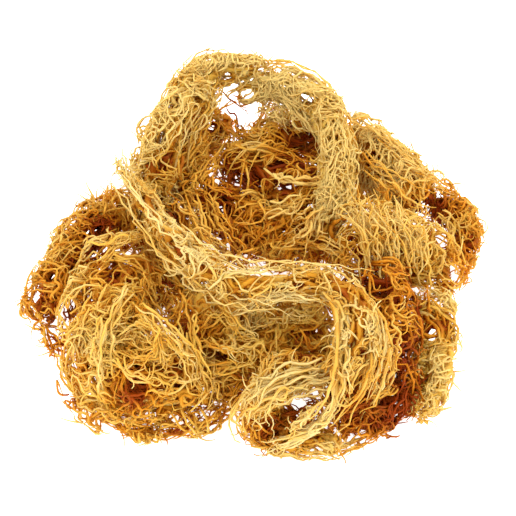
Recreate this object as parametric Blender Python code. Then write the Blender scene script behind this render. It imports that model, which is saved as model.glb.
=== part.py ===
"""Dried irish moss seaweed: a springy heap of tangled fronds lying on a flat surface.

Every frond is one solid of its own, grown from a core along its spine. Thick strands leave the
core and either curl round it or sweep on along the spine, and they carry short sprigs. Curled
fronds make the balls that the heap stands on, and sweeping fronds arch over them. The strands are
bent clear of each other where they pass, so that they lie over and under without touching, and
each frond can be lifted out of the heap.

Lengths in this file are millimetres, and become metres where a mesh is made. +Z is up and the
surface is at Z = 0. The heap's box is centred over the origin.
"""

import math
from dataclasses import dataclass

import bmesh
import bpy
import numpy as np

MM = 0.001

# Strands, thicker than the real ones so that fewer of them cover the heap
STRAND_WIDTH = 2.7
TRUNK_WIDTH = 3.6
CURL_STEP = 13.4
SWEEP_STEP = 13.0
STRAND_SIDES = 3
TIP_SHARE = 0.45
FORK_SHARE = 0.85

# Sprigs, the short side branches
SPRIG_LENGTH = 10.0
SPRIG_WIDTH = 1.9
SPRIG_POINTS = 3
SPRIG_OUTWARD = 0.9
SPRIG_FORWARD = (0.2, 0.9)
SPRIG_SCATTER = 0.35
SPRIG_BEND = 0.6

# The core of a curled frond, as a share of the frond's girth
CORE_SHARE = 0.21
CORE_SIDES = 5
CORE_STEP = 12.0

# How a strand curls: the shells they lie in and where they start, as shares of the girth, the
# turns they make, how far they drift along the spine and how they wave
SHELLS = (1.14, 0.7, 0.96, 1.06, 0.82)
ROOT_SHARE = 0.1
RISE_SHARE = 0.28
CURL_TURNS = (1.15, 1.6)
CURL_DRIFT = (0.2, 0.5)
POLE_SCATTER = 0.5
LATITUDE = 0.7
LATITUDE_WAVE = 0.2
OUT_WAVE = 0.05
OUT_WAVES = 1.7

# How a strand sweeps: where on the trunk it forks and how far it runs, as shares of the trunk,
# how it winds round it in radians, and how its distance from it waves and flares at the tip
FORK_REACH = 0.42
SWEEP_RUN = (0.62, 1.0)
FORK_RISE = 0.16
WIND_STEP = 2.4
WIND_TURN = 2.2
WIND_WAVE = 0.5
WIND_RATE = 7.0
AWAY_WAVE = 0.16
AWAY_WAVES = (1.5, 3.0)
TIP_FLARE = 0.35

# A holdfast is the small flat disc that a frond grew from. The heap stands on them.
HOLDFAST_WIDTH = 9.0
HOLDFAST_NECK = 4.2
HOLDFAST_HEIGHT = 2.6
HOLDFAST_SIDES = 7

# Room between strands, and between a strand and the surface
STRAND_GAP = 0.35
SURFACE_GAP = 0.2

# Pushing strands apart: the rounds, the last ones of which leave curls as they are, the rounds
# between two searches for near strands, how wide those look, and how strong a push and the
# smoothing after it are
ROUNDS = 150
PLAIN_ROUNDS = 40
SEARCH_EVERY = 10
FIRST_SEARCH = 8.0
LATER_SEARCH = 4.0
PUSH_RATE = 1.3
SMOOTH_RATE = 0.3
LEAST_SHARE = 0.05

# Every frond draws its random numbers from a seed of its own
FIRST_SEED = 11

AMBER = (0.50, 0.25, 0.05)
GOLD = (0.62, 0.38, 0.10)
CREAM = (0.76, 0.54, 0.22)


@dataclass(frozen=True)
class Frond:
    """One frond. Its spine holds rows of x, y, z and girth, the girth being a radius."""

    name: str
    habit: str
    spine: tuple
    strands: int
    sprigs: int
    swirl: tuple = (0.0, 0.0, 1.0)
    holdfast: float = -1.0
    colour: tuple = AMBER


@dataclass
class Strand:
    """A strand's middle line, its half width at each point, and what its first point grows from."""

    path: np.ndarray
    half_widths: np.ndarray
    frond: int
    parent: int = -1
    parent_point: int = 0
    fixed: int = 0


FRONDS = (
    Frond("frond_left_ball", "curl",
          ((-47, -12, 20, 18), (-51, -38, 21, 20), (-45, -60, 18, 20), (-25, -61, 16, 18)),
          strands=21, sprigs=4, swirl=(0.0, -0.5, 0.9), holdfast=0.6, colour=GOLD),
    Frond("frond_far_left", "curl",
          ((-72, -19, 11, 11), (-68, -3, 15, 12), (-60, 11, 16, 12), (-50, 23, 15, 11)),
          strands=11, sprigs=3),
    Frond("frond_middle", "curl",
          ((-34, 15, 12, 13), (-27, -1, 13, 13), (-15, -13, 12, 12)),
          strands=8, sprigs=2, swirl=(0.6, -0.5, 0.6)),
    Frond("frond_centre", "curl",
          ((-14, -36, 18, 17), (-1, -43, 17, 17), (15, -40, 18, 15)),
          strands=11, sprigs=2, swirl=(0.2, -0.6, 0.8), colour=GOLD),
    Frond("frond_front_right", "curl",
          ((45, -28, 20, 15), (43, -48, 17, 17), (31, -68, 11, 12), (45, -61, 10, 11)),
          strands=13, sprigs=3, swirl=(0.4, -0.4, 0.8), holdfast=0.7),
    Frond("frond_right_low", "curl",
          ((63, -24, 13, 10), (63, -42, 11, 10), (60, -58, 9, 9)),
          strands=7, sprigs=3, colour=GOLD),
    Frond("frond_right_brush", "curl",
          ((38, 2, 22, 16), (53, 0, 18, 16), (65, -3, 13, 13)),
          strands=12, sprigs=4, swirl=(0.9, 0.2, 0.3), colour=GOLD),
    Frond("frond_back_right", "curl",
          ((41, 61, 14, 13), (51, 46, 14, 14), (60, 30, 13, 13)),
          strands=11, sprigs=3, swirl=(0.5, 0.5, 0.7), holdfast=0.4),
    Frond("frond_right_tip", "curl",
          ((70, 31, 9, 9), (77, 21, 10, 9.5), (77, 9, 9, 8.5)),
          strands=7, sprigs=3, holdfast=0.5),
    Frond("frond_back_left", "curl",
          ((-34, 37, 14, 13), (-26, 57, 15, 14), (-17, 72, 14, 12)),
          strands=9, sprigs=2, swirl=(-0.6, 0.4, 0.7), holdfast=0.6),
    Frond("frond_hollow", "curl",
          ((-23, 30, 11, 13), (-8, 20, 11, 14), (9, 12, 11, 14), (20, 28, 13, 15),
           (6, 38, 12, 15), (-5, 51, 12, 13), (12, 62, 13, 14)),
          strands=22, sprigs=2, holdfast=0.5),
    Frond("frond_left_arch", "sweep",
          ((-39, 22, 8, 8), (-39, 27, 22, 9), (-36, 41, 34, 10.5), (-27, 59, 37, 11),
           (-17, 73, 36, 9.5), (-1, 75, 35, 8)),
          strands=12, sprigs=3, holdfast=0.0, colour=GOLD),
    Frond("frond_right_arch", "sweep",
          ((-6, 68, 29, 6.5), (9, 69, 33, 9), (23, 57, 34, 10), (30, 37, 33, 10),
           (29, 17, 28, 9), (23, 3, 22, 7)),
          strands=12, sprigs=3, colour=GOLD),
    Frond("frond_front_sweep", "sweep",
          ((-50, 29, 31, 2.5), (-41, 8, 38, 5), (-29, -17, 44, 7), (-15, -35, 46, 8),
           (2, -41, 46, 8), (19, -38, 46, 7), (32, -44, 44, 6.5), (32, -60, 41, 7),
           (26, -71, 34, 7)),
          strands=13, sprigs=3, colour=CREAM),
    Frond("frond_front_loop", "sweep",
          ((29, -62, 26, 6), (14, -63, 30, 8), (1, -67, 24, 9.5), (2, -73, 11, 9),
           (24, -77, 9, 8)),
          strands=12, sprigs=2, colour=CREAM),
)


def clear_scene():
    """Removes whatever the scene held."""
    for thing in list(bpy.data.objects):
        bpy.data.objects.remove(thing)


def unit(vector):
    """The vector, or each row of vectors, at length one."""
    vector = np.asarray(vector, float)
    return vector / np.maximum(np.linalg.norm(vector, axis=-1, keepdims=True), 1e-9)


def ease(value):
    """Rises smoothly from 0 to 1 while the value goes from 0 to 1."""
    value = np.clip(value, 0, 1)
    return value * value * (3 - 2 * value)


def along(rows, share):
    """Rows of numbers read at shares 0 to 1 of a smooth curve through them (Catmull-Rom)."""
    rows = np.asarray(rows, float)
    padded = np.vstack([2 * rows[0] - rows[1], rows, 2 * rows[-1] - rows[-2]])
    place = np.clip(np.asarray(share, float), 0, 1) * (len(rows) - 1)
    first = np.minimum(place.astype(int), len(rows) - 2)
    u = (place - first)[:, None]
    a, b, c, d = (padded[first + k] for k in range(4))
    return 0.5 * (2 * b + (c - a) * u + (2 * a - 5 * b + 4 * c - d) * u**2
                  + (3 * b - a - 3 * c + d) * u**3)


def length_of(path):
    """Length of the path through these points."""
    return float(np.linalg.norm(np.diff(path, axis=0), axis=1).sum())


def taper(width, count):
    """Half widths of a strand: full for most of its length, narrowing to its tip."""
    s = np.linspace(0, 1, count)
    return width / 2 * (1 - (1 - TIP_SHARE) * ease((s - 0.4) / 0.6))


def phase(rng):
    """A random place in a wave."""
    return rng.uniform(0, 2 * math.pi)


def core_rows(frond):
    """The core of a curled frond as rows of x, y, z and radius, clear of the surface."""
    count = 2 + round(length_of(np.array(frond.spine)[:, :3]) / CORE_STEP)
    rows = along(frond.spine, np.linspace(0, 1, count))
    rows[:, 3] *= CORE_SHARE
    rows[:, 2] = np.maximum(rows[:, 2], rows[:, 3] + SURFACE_GAP)
    return rows


def curl_strand(frond, index, order, rng):
    """A strand that leaves the core, winds part of a turn round the frond and drifts along it.

    It follows a tilted circle whose centre moves along the spine: a pole near the frond's swirl,
    a latitude on the circle's ball that waves a little, and a distance from the spine that grows
    from inside the core out to the strand's own shell.
    """
    place = (order + rng.uniform(0.1, 0.9)) / frond.strands
    drift = rng.uniform(*CURL_DRIFT) * rng.choice((-1, 1))
    girth = along(frond.spine, [place])[0, 3]
    pole = unit(unit(frond.swirl) + rng.normal(0, POLE_SCATTER, 3))
    side = unit(np.cross(pole, rng.normal(0, 1, 3)))
    other = np.cross(pole, side)
    turn = rng.uniform(*CURL_TURNS)
    count = 2 + round(2 * math.pi * girth * turn / CURL_STEP)
    s = np.linspace(0, 1, count)
    rows = along(frond.spine, place + drift * s)
    angle = 2 * math.pi * turn * s
    latitude = rng.uniform(-LATITUDE, LATITUDE)
    latitude = latitude + LATITUDE_WAVE * np.sin(2 * math.pi * s + phase(rng))
    shell = SHELLS[order % len(SHELLS)]
    wave = OUT_WAVE * np.sin(2 * math.pi * OUT_WAVES * s + phase(rng)) * ease(s / 0.4)
    out = ROOT_SHARE + (shell - ROOT_SHARE) * ease(s / RISE_SHARE) + wave
    flat = np.sqrt(1 - latitude**2)
    direction = ((flat * np.cos(angle))[:, None] * side + (flat * np.sin(angle))[:, None] * other
                 + latitude[:, None] * pole)
    path = rows[:, :3] + (out * (rows[:, 3] - STRAND_WIDTH / 2))[:, None] * direction
    return Strand(path, taper(STRAND_WIDTH, count), index, fixed=1)


def sweep_frame(frond, share):
    """Spine rows at these shares, with the two directions across the spine there."""
    rows = along(frond.spine, share)
    ahead = along(frond.spine, np.minimum(share + 0.01, 1))[:, :3]
    behind = along(frond.spine, np.maximum(share - 0.01, 0))[:, :3]
    forward = unit(ahead - behind)
    side = unit(np.cross(forward, (0, 0, 1)))
    return rows, side, np.cross(side, forward)


def trunk_strand(frond, index):
    """The thick stem along a sweeping frond's spine, which its other strands fork from."""
    count = 2 + round(length_of(along(frond.spine, np.linspace(0, 1, 60))[:, :3]) / SWEEP_STEP)
    path = along(frond.spine, np.linspace(0, 1, count))[:, :3]
    return Strand(path, taper(TRUNK_WIDTH, count), index, fixed=2 if frond.holdfast >= 0 else 0)


def sweep_strand(frond, index, order, trunk, trunk_at, rng):
    """A strand that forks from the trunk and runs on beside it, winding slowly round it."""
    spread = (order + 0.5) / frond.strands
    fork = round(rng.uniform(0, FORK_REACH) * (len(trunk.path) - 1))
    start = fork / (len(trunk.path) - 1)
    end = min(1.0, start + rng.uniform(*SWEEP_RUN))
    count = 3 + round(length_of(trunk.path) * (end - start) / SWEEP_STEP)
    s = np.linspace(0, 1, count)
    rows, side, over = sweep_frame(frond, start + (end - start) * s)
    angle = order * WIND_STEP + WIND_TURN * s + WIND_WAVE * np.sin(WIND_RATE * s + phase(rng))
    wave = 1 + AWAY_WAVE * np.sin(2 * math.pi * rng.uniform(*AWAY_WAVES) * s + phase(rng))
    flare = 1 + TIP_FLARE * ease((s - 0.75) / 0.25)
    away = math.sqrt(spread) * ease(s / FORK_RISE) * wave * flare
    away = away * (rows[:, 3] - STRAND_WIDTH / 2)
    path = (rows[:, :3] + (away * np.cos(angle))[:, None] * side
            + (away * np.sin(angle))[:, None] * over)
    return Strand(path, taper(STRAND_WIDTH * FORK_SHARE, count), index, trunk_at, fork)


def sprig(strand, strand_at, middle, rng):
    """A short side branch: it leaves a strand, bends outwards and ends free."""
    start = int(rng.integers(2, len(strand.path) - 1))
    root = strand.path[start]
    outward = unit(root - middle[np.linalg.norm(middle - root, axis=1).argmin()])
    forward = unit(strand.path[start] - strand.path[start - 1])
    heading = outward * SPRIG_OUTWARD + forward * rng.uniform(*SPRIG_FORWARD)
    heading = unit(heading + rng.normal(0, SPRIG_SCATTER, 3))
    bend = unit(heading + rng.normal(0, SPRIG_BEND, 3))
    s = np.linspace(0, 1, SPRIG_POINTS)[:, None]
    size = SPRIG_LENGTH * rng.uniform(0.7, 1.15)
    path = root + size * (heading * s + (bend - heading) * 0.5 * s**2)
    widths = SPRIG_WIDTH / 2 * np.linspace(1, TIP_SHARE, SPRIG_POINTS)
    return Strand(path, widths, strand.frond, strand_at, start)


def grow_strands(frond, index, first, rng):
    """All the strands and sprigs of one frond. first is the place of its first one in the list."""
    grown = []
    if frond.habit == "sweep":
        grown.append(trunk_strand(frond, index))
        grown += [sweep_strand(frond, index, order, grown[0], first, rng)
                  for order in range(1, frond.strands)]
    else:
        grown += [curl_strand(frond, index, order, rng) for order in range(frond.strands)]
    middle = along(frond.spine, np.linspace(0, 1, 40))[:, :3]
    taken = set()
    long_ones = len(grown)
    for order in range(frond.sprigs):
        carrier = order % long_ones
        made = sprig(grown[carrier], first + carrier, middle, rng)
        if (carrier, made.parent_point) not in taken:
            taken.add((carrier, made.parent_point))
            grown.append(made)
    return grown


@dataclass
class Tangle:
    """Every strand as loose segments between points, with the cores and holdfasts as thick ones."""

    points: np.ndarray
    movable: np.ndarray
    low: np.ndarray
    high: np.ndarray
    half_width: np.ndarray
    frond: np.ndarray
    strand: np.ndarray
    place: np.ndarray
    starts: list


def make_tangle(strands):
    """Lays the strands, cores and holdfasts out in arrays of points and segments."""
    points, movable, low, half_width, frond_of, strand_of, place = ([] for _ in range(7))
    starts = []

    def add(path, widths, frond, number, fixed):
        base = sum(len(p) for p in points)
        count = len(path) - 1
        points.append(path)
        movable.append(np.arange(len(path)) >= fixed)
        low.append(base + np.arange(count))
        half_width.append(np.maximum(widths[:-1], widths[1:]))
        frond_of.append(np.full(count, frond))
        strand_of.append(np.full(count, number))
        place.append(np.arange(count))
        return base

    for number, strand in enumerate(strands):
        starts.append(add(strand.path, strand.half_widths, strand.frond, number, strand.fixed))
    for index, frond in enumerate(FRONDS):
        if frond.habit == "curl":
            rows = core_rows(frond)
            add(rows[:, :3], rows[:, 3], index, -1 - index, len(rows))
        if frond.holdfast >= 0:
            path = holdfast_path(frond)[:2]
            add(path, np.full(2, HOLDFAST_WIDTH / 2), index, -1 - index, 2)
    low = np.concatenate(low)
    return Tangle(np.concatenate(points), np.concatenate(movable), low, low + 1,
                  np.concatenate(half_width), np.concatenate(frond_of),
                  np.concatenate(strand_of), np.concatenate(place), starts)


def may_meet(tangle, strands):
    """Which pairs of segments must stay apart: all but neighbours, and roots with their bearers."""
    same_strand = tangle.strand[:, None] == tangle.strand[None]
    near = np.abs(tangle.place[:, None] - tangle.place[None]) < 2
    apart = ~(same_strand & near)
    same_frond = tangle.frond[:, None] == tangle.frond[None]
    is_core = tangle.strand < 0
    rooted = np.array([s.parent < 0 for s in strands])
    is_root = ~is_core & (tangle.place < 1) & rooted[np.maximum(tangle.strand, 0)]
    joins = is_core[:, None] & (is_core | is_root)[None] & same_frond
    apart &= ~(joins | joins.T)
    parent = np.array([s.parent for s in strands])
    parent_point = np.array([s.parent_point for s in strands])
    first = np.nonzero(~is_core & (tangle.place == 0))[0]
    for segment in first:
        owner = tangle.strand[segment]
        if parent[owner] < 0:
            continue
        bearer = (tangle.strand == parent[owner])
        bearer &= np.abs(tangle.place + 0.5 - parent_point[owner]) < 2
        brothers = np.zeros(len(bearer), bool)
        brothers[first] = ((parent[tangle.strand[first]] == parent[owner])
                           & (np.abs(parent_point[tangle.strand[first]] - parent_point[owner]) < 2))
        apart[segment, bearer | brothers] = False
        apart[bearer | brothers, segment] = False
    return np.triu(apart, 1)


def closest(tangle, one, two):
    """For pairs of segments: how far along each the nearest points are, and the way between them."""
    p, q = tangle.points[tangle.low[one]], tangle.points[tangle.low[two]]
    u, v = tangle.points[tangle.high[one]] - p, tangle.points[tangle.high[two]] - q
    r = p - q
    uu, vv, uv = (u * u).sum(1), (v * v).sum(1), (u * v).sum(1)
    ur, vr = (u * r).sum(1), (v * r).sum(1)
    s = np.clip((uv * vr - ur * vv) / np.maximum(uu * vv - uv * uv, 1e-6), 0, 1)
    t = np.clip((uv * s + vr) / np.maximum(vv, 1e-9), 0, 1)
    s = np.clip((uv * t - ur) / np.maximum(uu, 1e-9), 0, 1)
    way = (p + s[:, None] * u) - (q + t[:, None] * v)
    return s, t, way


def near_pairs(tangle, apart, room):
    """Pairs of segments that must stay apart and are within reach of each other."""
    middle = (tangle.points[tangle.low] + tangle.points[tangle.high]) / 2
    half = np.linalg.norm(tangle.points[tangle.high] - tangle.points[tangle.low], axis=1) / 2
    square = (middle**2).sum(1)
    distance = square[:, None] + square[None] - 2 * middle @ middle.T
    reach = half + tangle.half_width
    reach = reach[:, None] + reach[None] + STRAND_GAP + room
    return np.nonzero(apart & (distance < reach**2))


def push_apart(tangle, one, two):
    """Moves the points of segments that are too near, each by its own share of the push.

    A push at some place of a segment is shared by the segment's two ends, the nearer one more.
    """
    s, t, way = closest(tangle, one, two)
    far = np.linalg.norm(way, axis=1)
    short = tangle.half_width[one] + tangle.half_width[two] + STRAND_GAP - far
    hit = short > 0
    ends = np.stack([tangle.low[one], tangle.high[one], tangle.low[two], tangle.high[two]])
    ends = ends[:, hit]
    share = np.stack([1 - s, s, t - 1, -t])[:, hit] * tangle.movable[ends]
    total = np.maximum((share**2).sum(0), LEAST_SHARE)
    push = (way[hit] / np.maximum(far[hit], 1e-6)[:, None]) * (short[hit] / total)[:, None]
    move = np.zeros_like(tangle.points)
    count = np.zeros(len(tangle.points))
    for end, part in zip(ends, share):
        np.add.at(move, end, part[:, None] * push)
        np.add.at(count, end, np.abs(part) > LEAST_SHARE)
    tangle.points += PUSH_RATE * move / np.maximum(count, 1)[:, None]


def even_out(tangle, grown, strands):
    """Evens each strand's shift from where it grew along it, so that its curls stay smooth."""
    shift = tangle.points - grown
    for strand, start in zip(strands, tangle.starts):
        part = shift[start:start + len(strand.path)]
        part[1:-1] += SMOOTH_RATE * ((part[:-2] + part[2:]) / 2 - part[1:-1])
    tangle.points = grown + shift


def bend_clear(tangle, strands, apart):
    """Bends strands that touch clear of each other, over many rounds, and off the surface."""
    grown = tangle.points.copy()
    lowest = np.zeros(len(grown))
    np.maximum.at(lowest, tangle.low, tangle.half_width + SURFACE_GAP)
    np.maximum.at(lowest, tangle.high, tangle.half_width + SURFACE_GAP)
    lowest[~tangle.movable] = -1
    one, two = near_pairs(tangle, apart, FIRST_SEARCH)
    for step in range(ROUNDS):
        if step % SEARCH_EVERY == SEARCH_EVERY - 1:
            one, two = near_pairs(tangle, apart, LATER_SEARCH)
        push_apart(tangle, one, two)
        if step < ROUNDS - PLAIN_ROUNDS:
            even_out(tangle, grown, strands)
        for strand, start in zip(strands, tangle.starts):
            if strand.parent >= 0:
                bearer = tangle.starts[strand.parent] + strand.parent_point
                tangle.points[start] = tangle.points[bearer]
        tangle.points[:, 2] = np.maximum(tangle.points[:, 2], lowest)


def kept_lengths(strands, tangle, apart):
    """How many points of each strand to keep, so that no strand meets another frond."""
    keep = [len(s.path) for s in strands]
    one, two = near_pairs(tangle, apart, 0.0)
    _, _, way = closest(tangle, one, two)
    limit = tangle.half_width[one] + tangle.half_width[two] + STRAND_GAP * 0.4
    meets = (np.linalg.norm(way, axis=1) < limit) & (tangle.frond[one] != tangle.frond[two])
    for a, b in zip(one[meets], two[meets]):
        owners = tangle.strand[a], tangle.strand[b]
        if max(owners) < 0:
            continue
        size = [len(strands[owner].path) if owner >= 0 else math.inf for owner in owners]
        if size[0] > size[1]:
            a, b = b, a
        still_there = tangle.strand[b] < 0 or tangle.place[b] < keep[tangle.strand[b]] - 1
        if still_there:
            keep[tangle.strand[a]] = min(keep[tangle.strand[a]], tangle.place[a] + 1)
    return keep


def tube(path, half_widths, sides):
    """Points and faces of a closed tube along a path, turning with it and never twisting."""
    path = np.asarray(path, float)
    forward = unit(np.gradient(path, axis=0))
    side = unit(np.cross(forward[0], (0.31, 0.17, 0.93)))
    angle = 2 * math.pi * np.arange(sides) / sides
    rings = []
    for here, ahead, width in zip(path, forward, half_widths):
        side = unit(side - ahead * (side @ ahead))
        up = np.cross(ahead, side)
        rings.append(here + width * (np.outer(np.cos(angle), side) + np.outer(np.sin(angle), up)))
    faces = [tuple(range(sides))[::-1]]
    for ring in range(len(path) - 1):
        low, high = ring * sides, (ring + 1) * sides
        for k in range(sides):
            after = (k + 1) % sides
            faces.append((low + k, low + after, high + after, high + k))
    faces.append(tuple((len(path) - 1) * sides + k for k in range(sides)))
    return np.concatenate(rings), faces


def solid(name, points, faces):
    """A mesh object from points in millimetres."""
    mesh = bpy.data.meshes.new(name)
    mesh.from_pydata((np.asarray(points) * MM).tolist(), [], faces)
    made = bpy.data.objects.new(name, mesh)
    shape = bmesh.new()
    shape.from_mesh(mesh)
    bmesh.ops.recalc_face_normals(shape, faces=shape.faces)
    bmesh.ops.triangulate(shape, faces=shape.faces)
    shape.to_mesh(mesh)
    shape.free()
    return made


def core_solid(frond):
    """The core of a curled frond, a tube along its spine with narrowed ends."""
    rows = core_rows(frond)
    path, half_widths = rows[:, :3], rows[:, 3]
    first = path[0] - unit(path[1] - path[0]) * half_widths[0] * 0.7
    last = path[-1] + unit(path[-1] - path[-2]) * half_widths[-1] * 0.7
    path = np.vstack([first, path, last])
    half_widths = np.concatenate([[half_widths[0] * 0.5], half_widths, [half_widths[-1] * 0.5]])
    path[:, 2] = np.maximum(path[:, 2], half_widths + SURFACE_GAP)
    return solid(frond.name + "_core", *tube(path, half_widths, CORE_SIDES))


def holdfast_path(frond):
    """From the middle of the flat underside of a holdfast up into the frond."""
    x, y, z, _ = along(frond.spine, [frond.holdfast])[0]
    heights = (0.0, HOLDFAST_HEIGHT * 0.4, HOLDFAST_HEIGHT, max(z, HOLDFAST_HEIGHT + 2) + 2)
    return np.array([(x, y, height) for height in heights])


def holdfast_solid(frond):
    """The disc that a frond grew from, flat on the surface, its neck running up into the frond."""
    widths = np.array([HOLDFAST_WIDTH, HOLDFAST_WIDTH * 0.9, HOLDFAST_NECK, HOLDFAST_NECK * 0.8])
    points, faces = tube(holdfast_path(frond), widths / 2, HOLDFAST_SIDES)
    return solid(frond.name + "_holdfast", points, faces)


def keep_main_body(mesh):
    """Drops the sealed hollows and loose scraps that a union can leave, keeping the outer skin."""
    shape = bmesh.new()
    shape.from_mesh(mesh)
    waiting, islands = set(shape.verts), []
    while waiting:
        front = [waiting.pop()]
        island = set(front)
        while front:
            for edge in front.pop().link_edges:
                for vert in edge.verts:
                    if vert in waiting:
                        waiting.discard(vert)
                        island.add(vert)
                        front.append(vert)
        islands.append(island)
    largest = max(islands, key=len)
    loose = [vert for island in islands if island is not largest for vert in island]
    bmesh.ops.delete(shape, geom=loose, context="VERTS")
    bmesh.ops.triangulate(shape, faces=shape.faces)
    shape.to_mesh(mesh)
    shape.free()


def finish_of(name, colour):
    """Waxy dried seaweed."""
    material = bpy.data.materials.new(name)
    material.use_nodes = True
    shader = material.node_tree.nodes["Principled BSDF"]
    shader.inputs["Base Color"].default_value = (*colour, 1)
    shader.inputs["Roughness"].default_value = 0.55
    shader.inputs["Metallic"].default_value = 0.0
    return material


def fuse(frond, pieces):
    """One frond from its pieces, joined by a union and left as a single skin."""
    base, *others = pieces
    tools = bpy.data.collections.new(frond.name + "_strands")
    bpy.context.scene.collection.children.link(tools)
    bpy.context.scene.collection.objects.link(base)
    for piece in others:
        tools.objects.link(piece)
    join = base.modifiers.new("join", "BOOLEAN")
    join.operation = "UNION"
    join.operand_type = "COLLECTION"
    join.collection = tools
    join.solver = "MANIFOLD"
    graph = bpy.context.evaluated_depsgraph_get()
    mesh = bpy.data.meshes.new_from_object(base.evaluated_get(graph))
    for piece in pieces:
        bpy.data.objects.remove(piece)
    bpy.data.collections.remove(tools)
    keep_main_body(mesh)
    mesh.name = frond.name
    mesh.materials.clear()
    mesh.materials.append(finish_of(frond.name, frond.colour))
    node = bpy.data.objects.new(frond.name, mesh)
    bpy.context.scene.collection.objects.link(node)
    return node


def centre_heap(nodes):
    """Shifts every frond alike, so that the heap's box is centred over the origin."""
    corners = [np.array([vert.co for vert in node.data.vertices]) for node in nodes]
    low = np.min([c.min(axis=0) for c in corners], axis=0)
    high = np.max([c.max(axis=0) for c in corners], axis=0)
    middle = (low + high) / 2
    for node, corner in zip(nodes, corners):
        corner[:, :2] -= middle[:2]
        node.data.vertices.foreach_set("co", corner.ravel())
        node.data.update()


def frond_pieces(frond, index, strands, tangle, keep):
    """The solids of one frond before they are fused: core, holdfast, strands and sprigs."""
    pieces = [core_solid(frond)] if frond.habit == "curl" else []
    if frond.holdfast >= 0:
        pieces.append(holdfast_solid(frond))
    for number, strand in enumerate(strands):
        lost_bearer = strand.parent >= 0 and strand.parent_point >= keep[strand.parent]
        if strand.frond != index or keep[number] < 2 or lost_bearer:
            continue
        start = tangle.starts[number]
        path = tangle.points[start:start + keep[number]]
        shape = tube(path, strand.half_widths[:keep[number]], STRAND_SIDES)
        pieces.append(solid(f"{frond.name}_strand_{number}", *shape))
    return pieces


def main():
    """Grows the whole heap."""
    clear_scene()
    strands = []
    for index, frond in enumerate(FRONDS):
        rng = np.random.default_rng(FIRST_SEED + index)
        strands += grow_strands(frond, index, len(strands), rng)
    tangle = make_tangle(strands)
    apart = may_meet(tangle, strands)
    bend_clear(tangle, strands, apart)
    keep = kept_lengths(strands, tangle, apart)
    centre_heap([fuse(frond, frond_pieces(frond, index, strands, tangle, keep))
                 for index, frond in enumerate(FRONDS)])


main()
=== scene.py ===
"""Looks of a dried irish moss heap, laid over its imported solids.

Every frond of the frame is replaced by one finer piece of the same form. A piece is some hundreds
of thin tapering strands that run in bundles, and the short branchlets that fork from them.

Lengths in the tables are millimetres in the heap's own layout. They become metres in the frame
where a mesh is made, by MM and HEAP_SHIFT.
"""

import logging
import math
from dataclasses import dataclass
from enum import Enum

import bpy
import numpy as np
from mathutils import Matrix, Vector


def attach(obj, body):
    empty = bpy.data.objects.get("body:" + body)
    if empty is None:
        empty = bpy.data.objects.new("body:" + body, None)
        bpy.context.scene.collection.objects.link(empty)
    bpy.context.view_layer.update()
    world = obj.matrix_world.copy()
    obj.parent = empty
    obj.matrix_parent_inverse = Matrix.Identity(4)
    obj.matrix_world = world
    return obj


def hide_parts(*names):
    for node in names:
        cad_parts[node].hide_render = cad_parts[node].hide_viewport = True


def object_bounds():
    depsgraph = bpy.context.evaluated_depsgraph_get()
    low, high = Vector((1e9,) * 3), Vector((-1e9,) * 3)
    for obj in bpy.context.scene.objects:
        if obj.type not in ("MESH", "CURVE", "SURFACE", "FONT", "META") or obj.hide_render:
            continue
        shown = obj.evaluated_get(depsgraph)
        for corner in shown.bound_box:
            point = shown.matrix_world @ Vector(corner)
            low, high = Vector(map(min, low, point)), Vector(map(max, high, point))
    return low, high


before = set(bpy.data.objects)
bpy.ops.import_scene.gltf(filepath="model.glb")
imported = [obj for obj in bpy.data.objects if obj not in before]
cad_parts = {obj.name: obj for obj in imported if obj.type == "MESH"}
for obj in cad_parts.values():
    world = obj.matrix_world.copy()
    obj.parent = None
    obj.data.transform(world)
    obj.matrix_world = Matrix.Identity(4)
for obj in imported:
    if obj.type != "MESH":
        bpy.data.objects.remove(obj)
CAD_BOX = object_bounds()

log = logging.getLogger("irish_moss")

MM = 0.001  # metres in a millimetre
TINY = 1e-9  # least length that a vector is divided by
HEAP_SHIFT = np.array((1.041, -0.976, 0.0))  # from the layout to the frame
EYE = (0.2, -400.2, 490.4)  # the camera's place in the layout
BOX_LOW = np.array(CAD_BOX[0]) / MM
BOX_HIGH = np.array(CAD_BOX[1]) / MM
BOX_ROOM = 0.05  # how far every strand stays inside the box
FIRST_SEED = 301
FIRST_SIDE = (0.31, 0.17, 0.93)  # a direction that no strand sets off along
WAVE_PARTS = (1.0, 0.75, 0.5)  # heights of the waves that a wandering is made of
SPINE_PLACES = 60  # places on a spine that strands are measured from
SPINE_PACE = 0.02  # share of a spine between the places that give its direction
STRAY_FREE = 0.25  # share of a spine that a strand may stray along it
STRAY_COST = 12  # girths that straying further counts as, for the whole spine
BEND_FALL = 0.56  # how fast a bend round an opening fades away from the nearest point
DENT_CORE = 0.65  # share of a dent's radius that strands keep out of
DENT_SHADE = 0.75  # painted shade: how much deeper the tone is at a dent's end
DENT_REACH = 1.7  # how far the painted shade goes, in the dent's radii
CELL_TALLNESS = 12  # height of a map cell, in its widths
CELL_FILL = 0.9  # share of a cell that its tube takes
WALL_FOOT = 0.05  # where a tube's walls start in its cell
CAP_MIDDLES = (0.02, 1.08)  # where the root's cap and the tip's cap lie in the cell
CAP_SIZE = (0.4, 0.02)  # half the width and height of a cap in the cell

Colour = tuple[float, float, float]
Row = tuple[float, float, float, float]
Place = tuple[float, float, float]
Span = tuple[float, float]


class Course(Enum):
    """Which way strands head at their roots."""

    ANY = "any way over the frond"
    ALONG = "along the frond's spine, one way or the other"


def unit(vectors: np.ndarray) -> np.ndarray:
    """Each vector of the last axis divided by its own length."""
    return vectors / np.maximum(np.linalg.norm(vectors, axis=-1, keepdims=True), TINY)


def ease(value: np.ndarray) -> np.ndarray:
    """Rises smoothly from 0 to 1 with the value: its square, times 3 less twice the value."""
    value = np.clip(value, 0, 1)
    return value * value * (3 - 2 * value)


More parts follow.
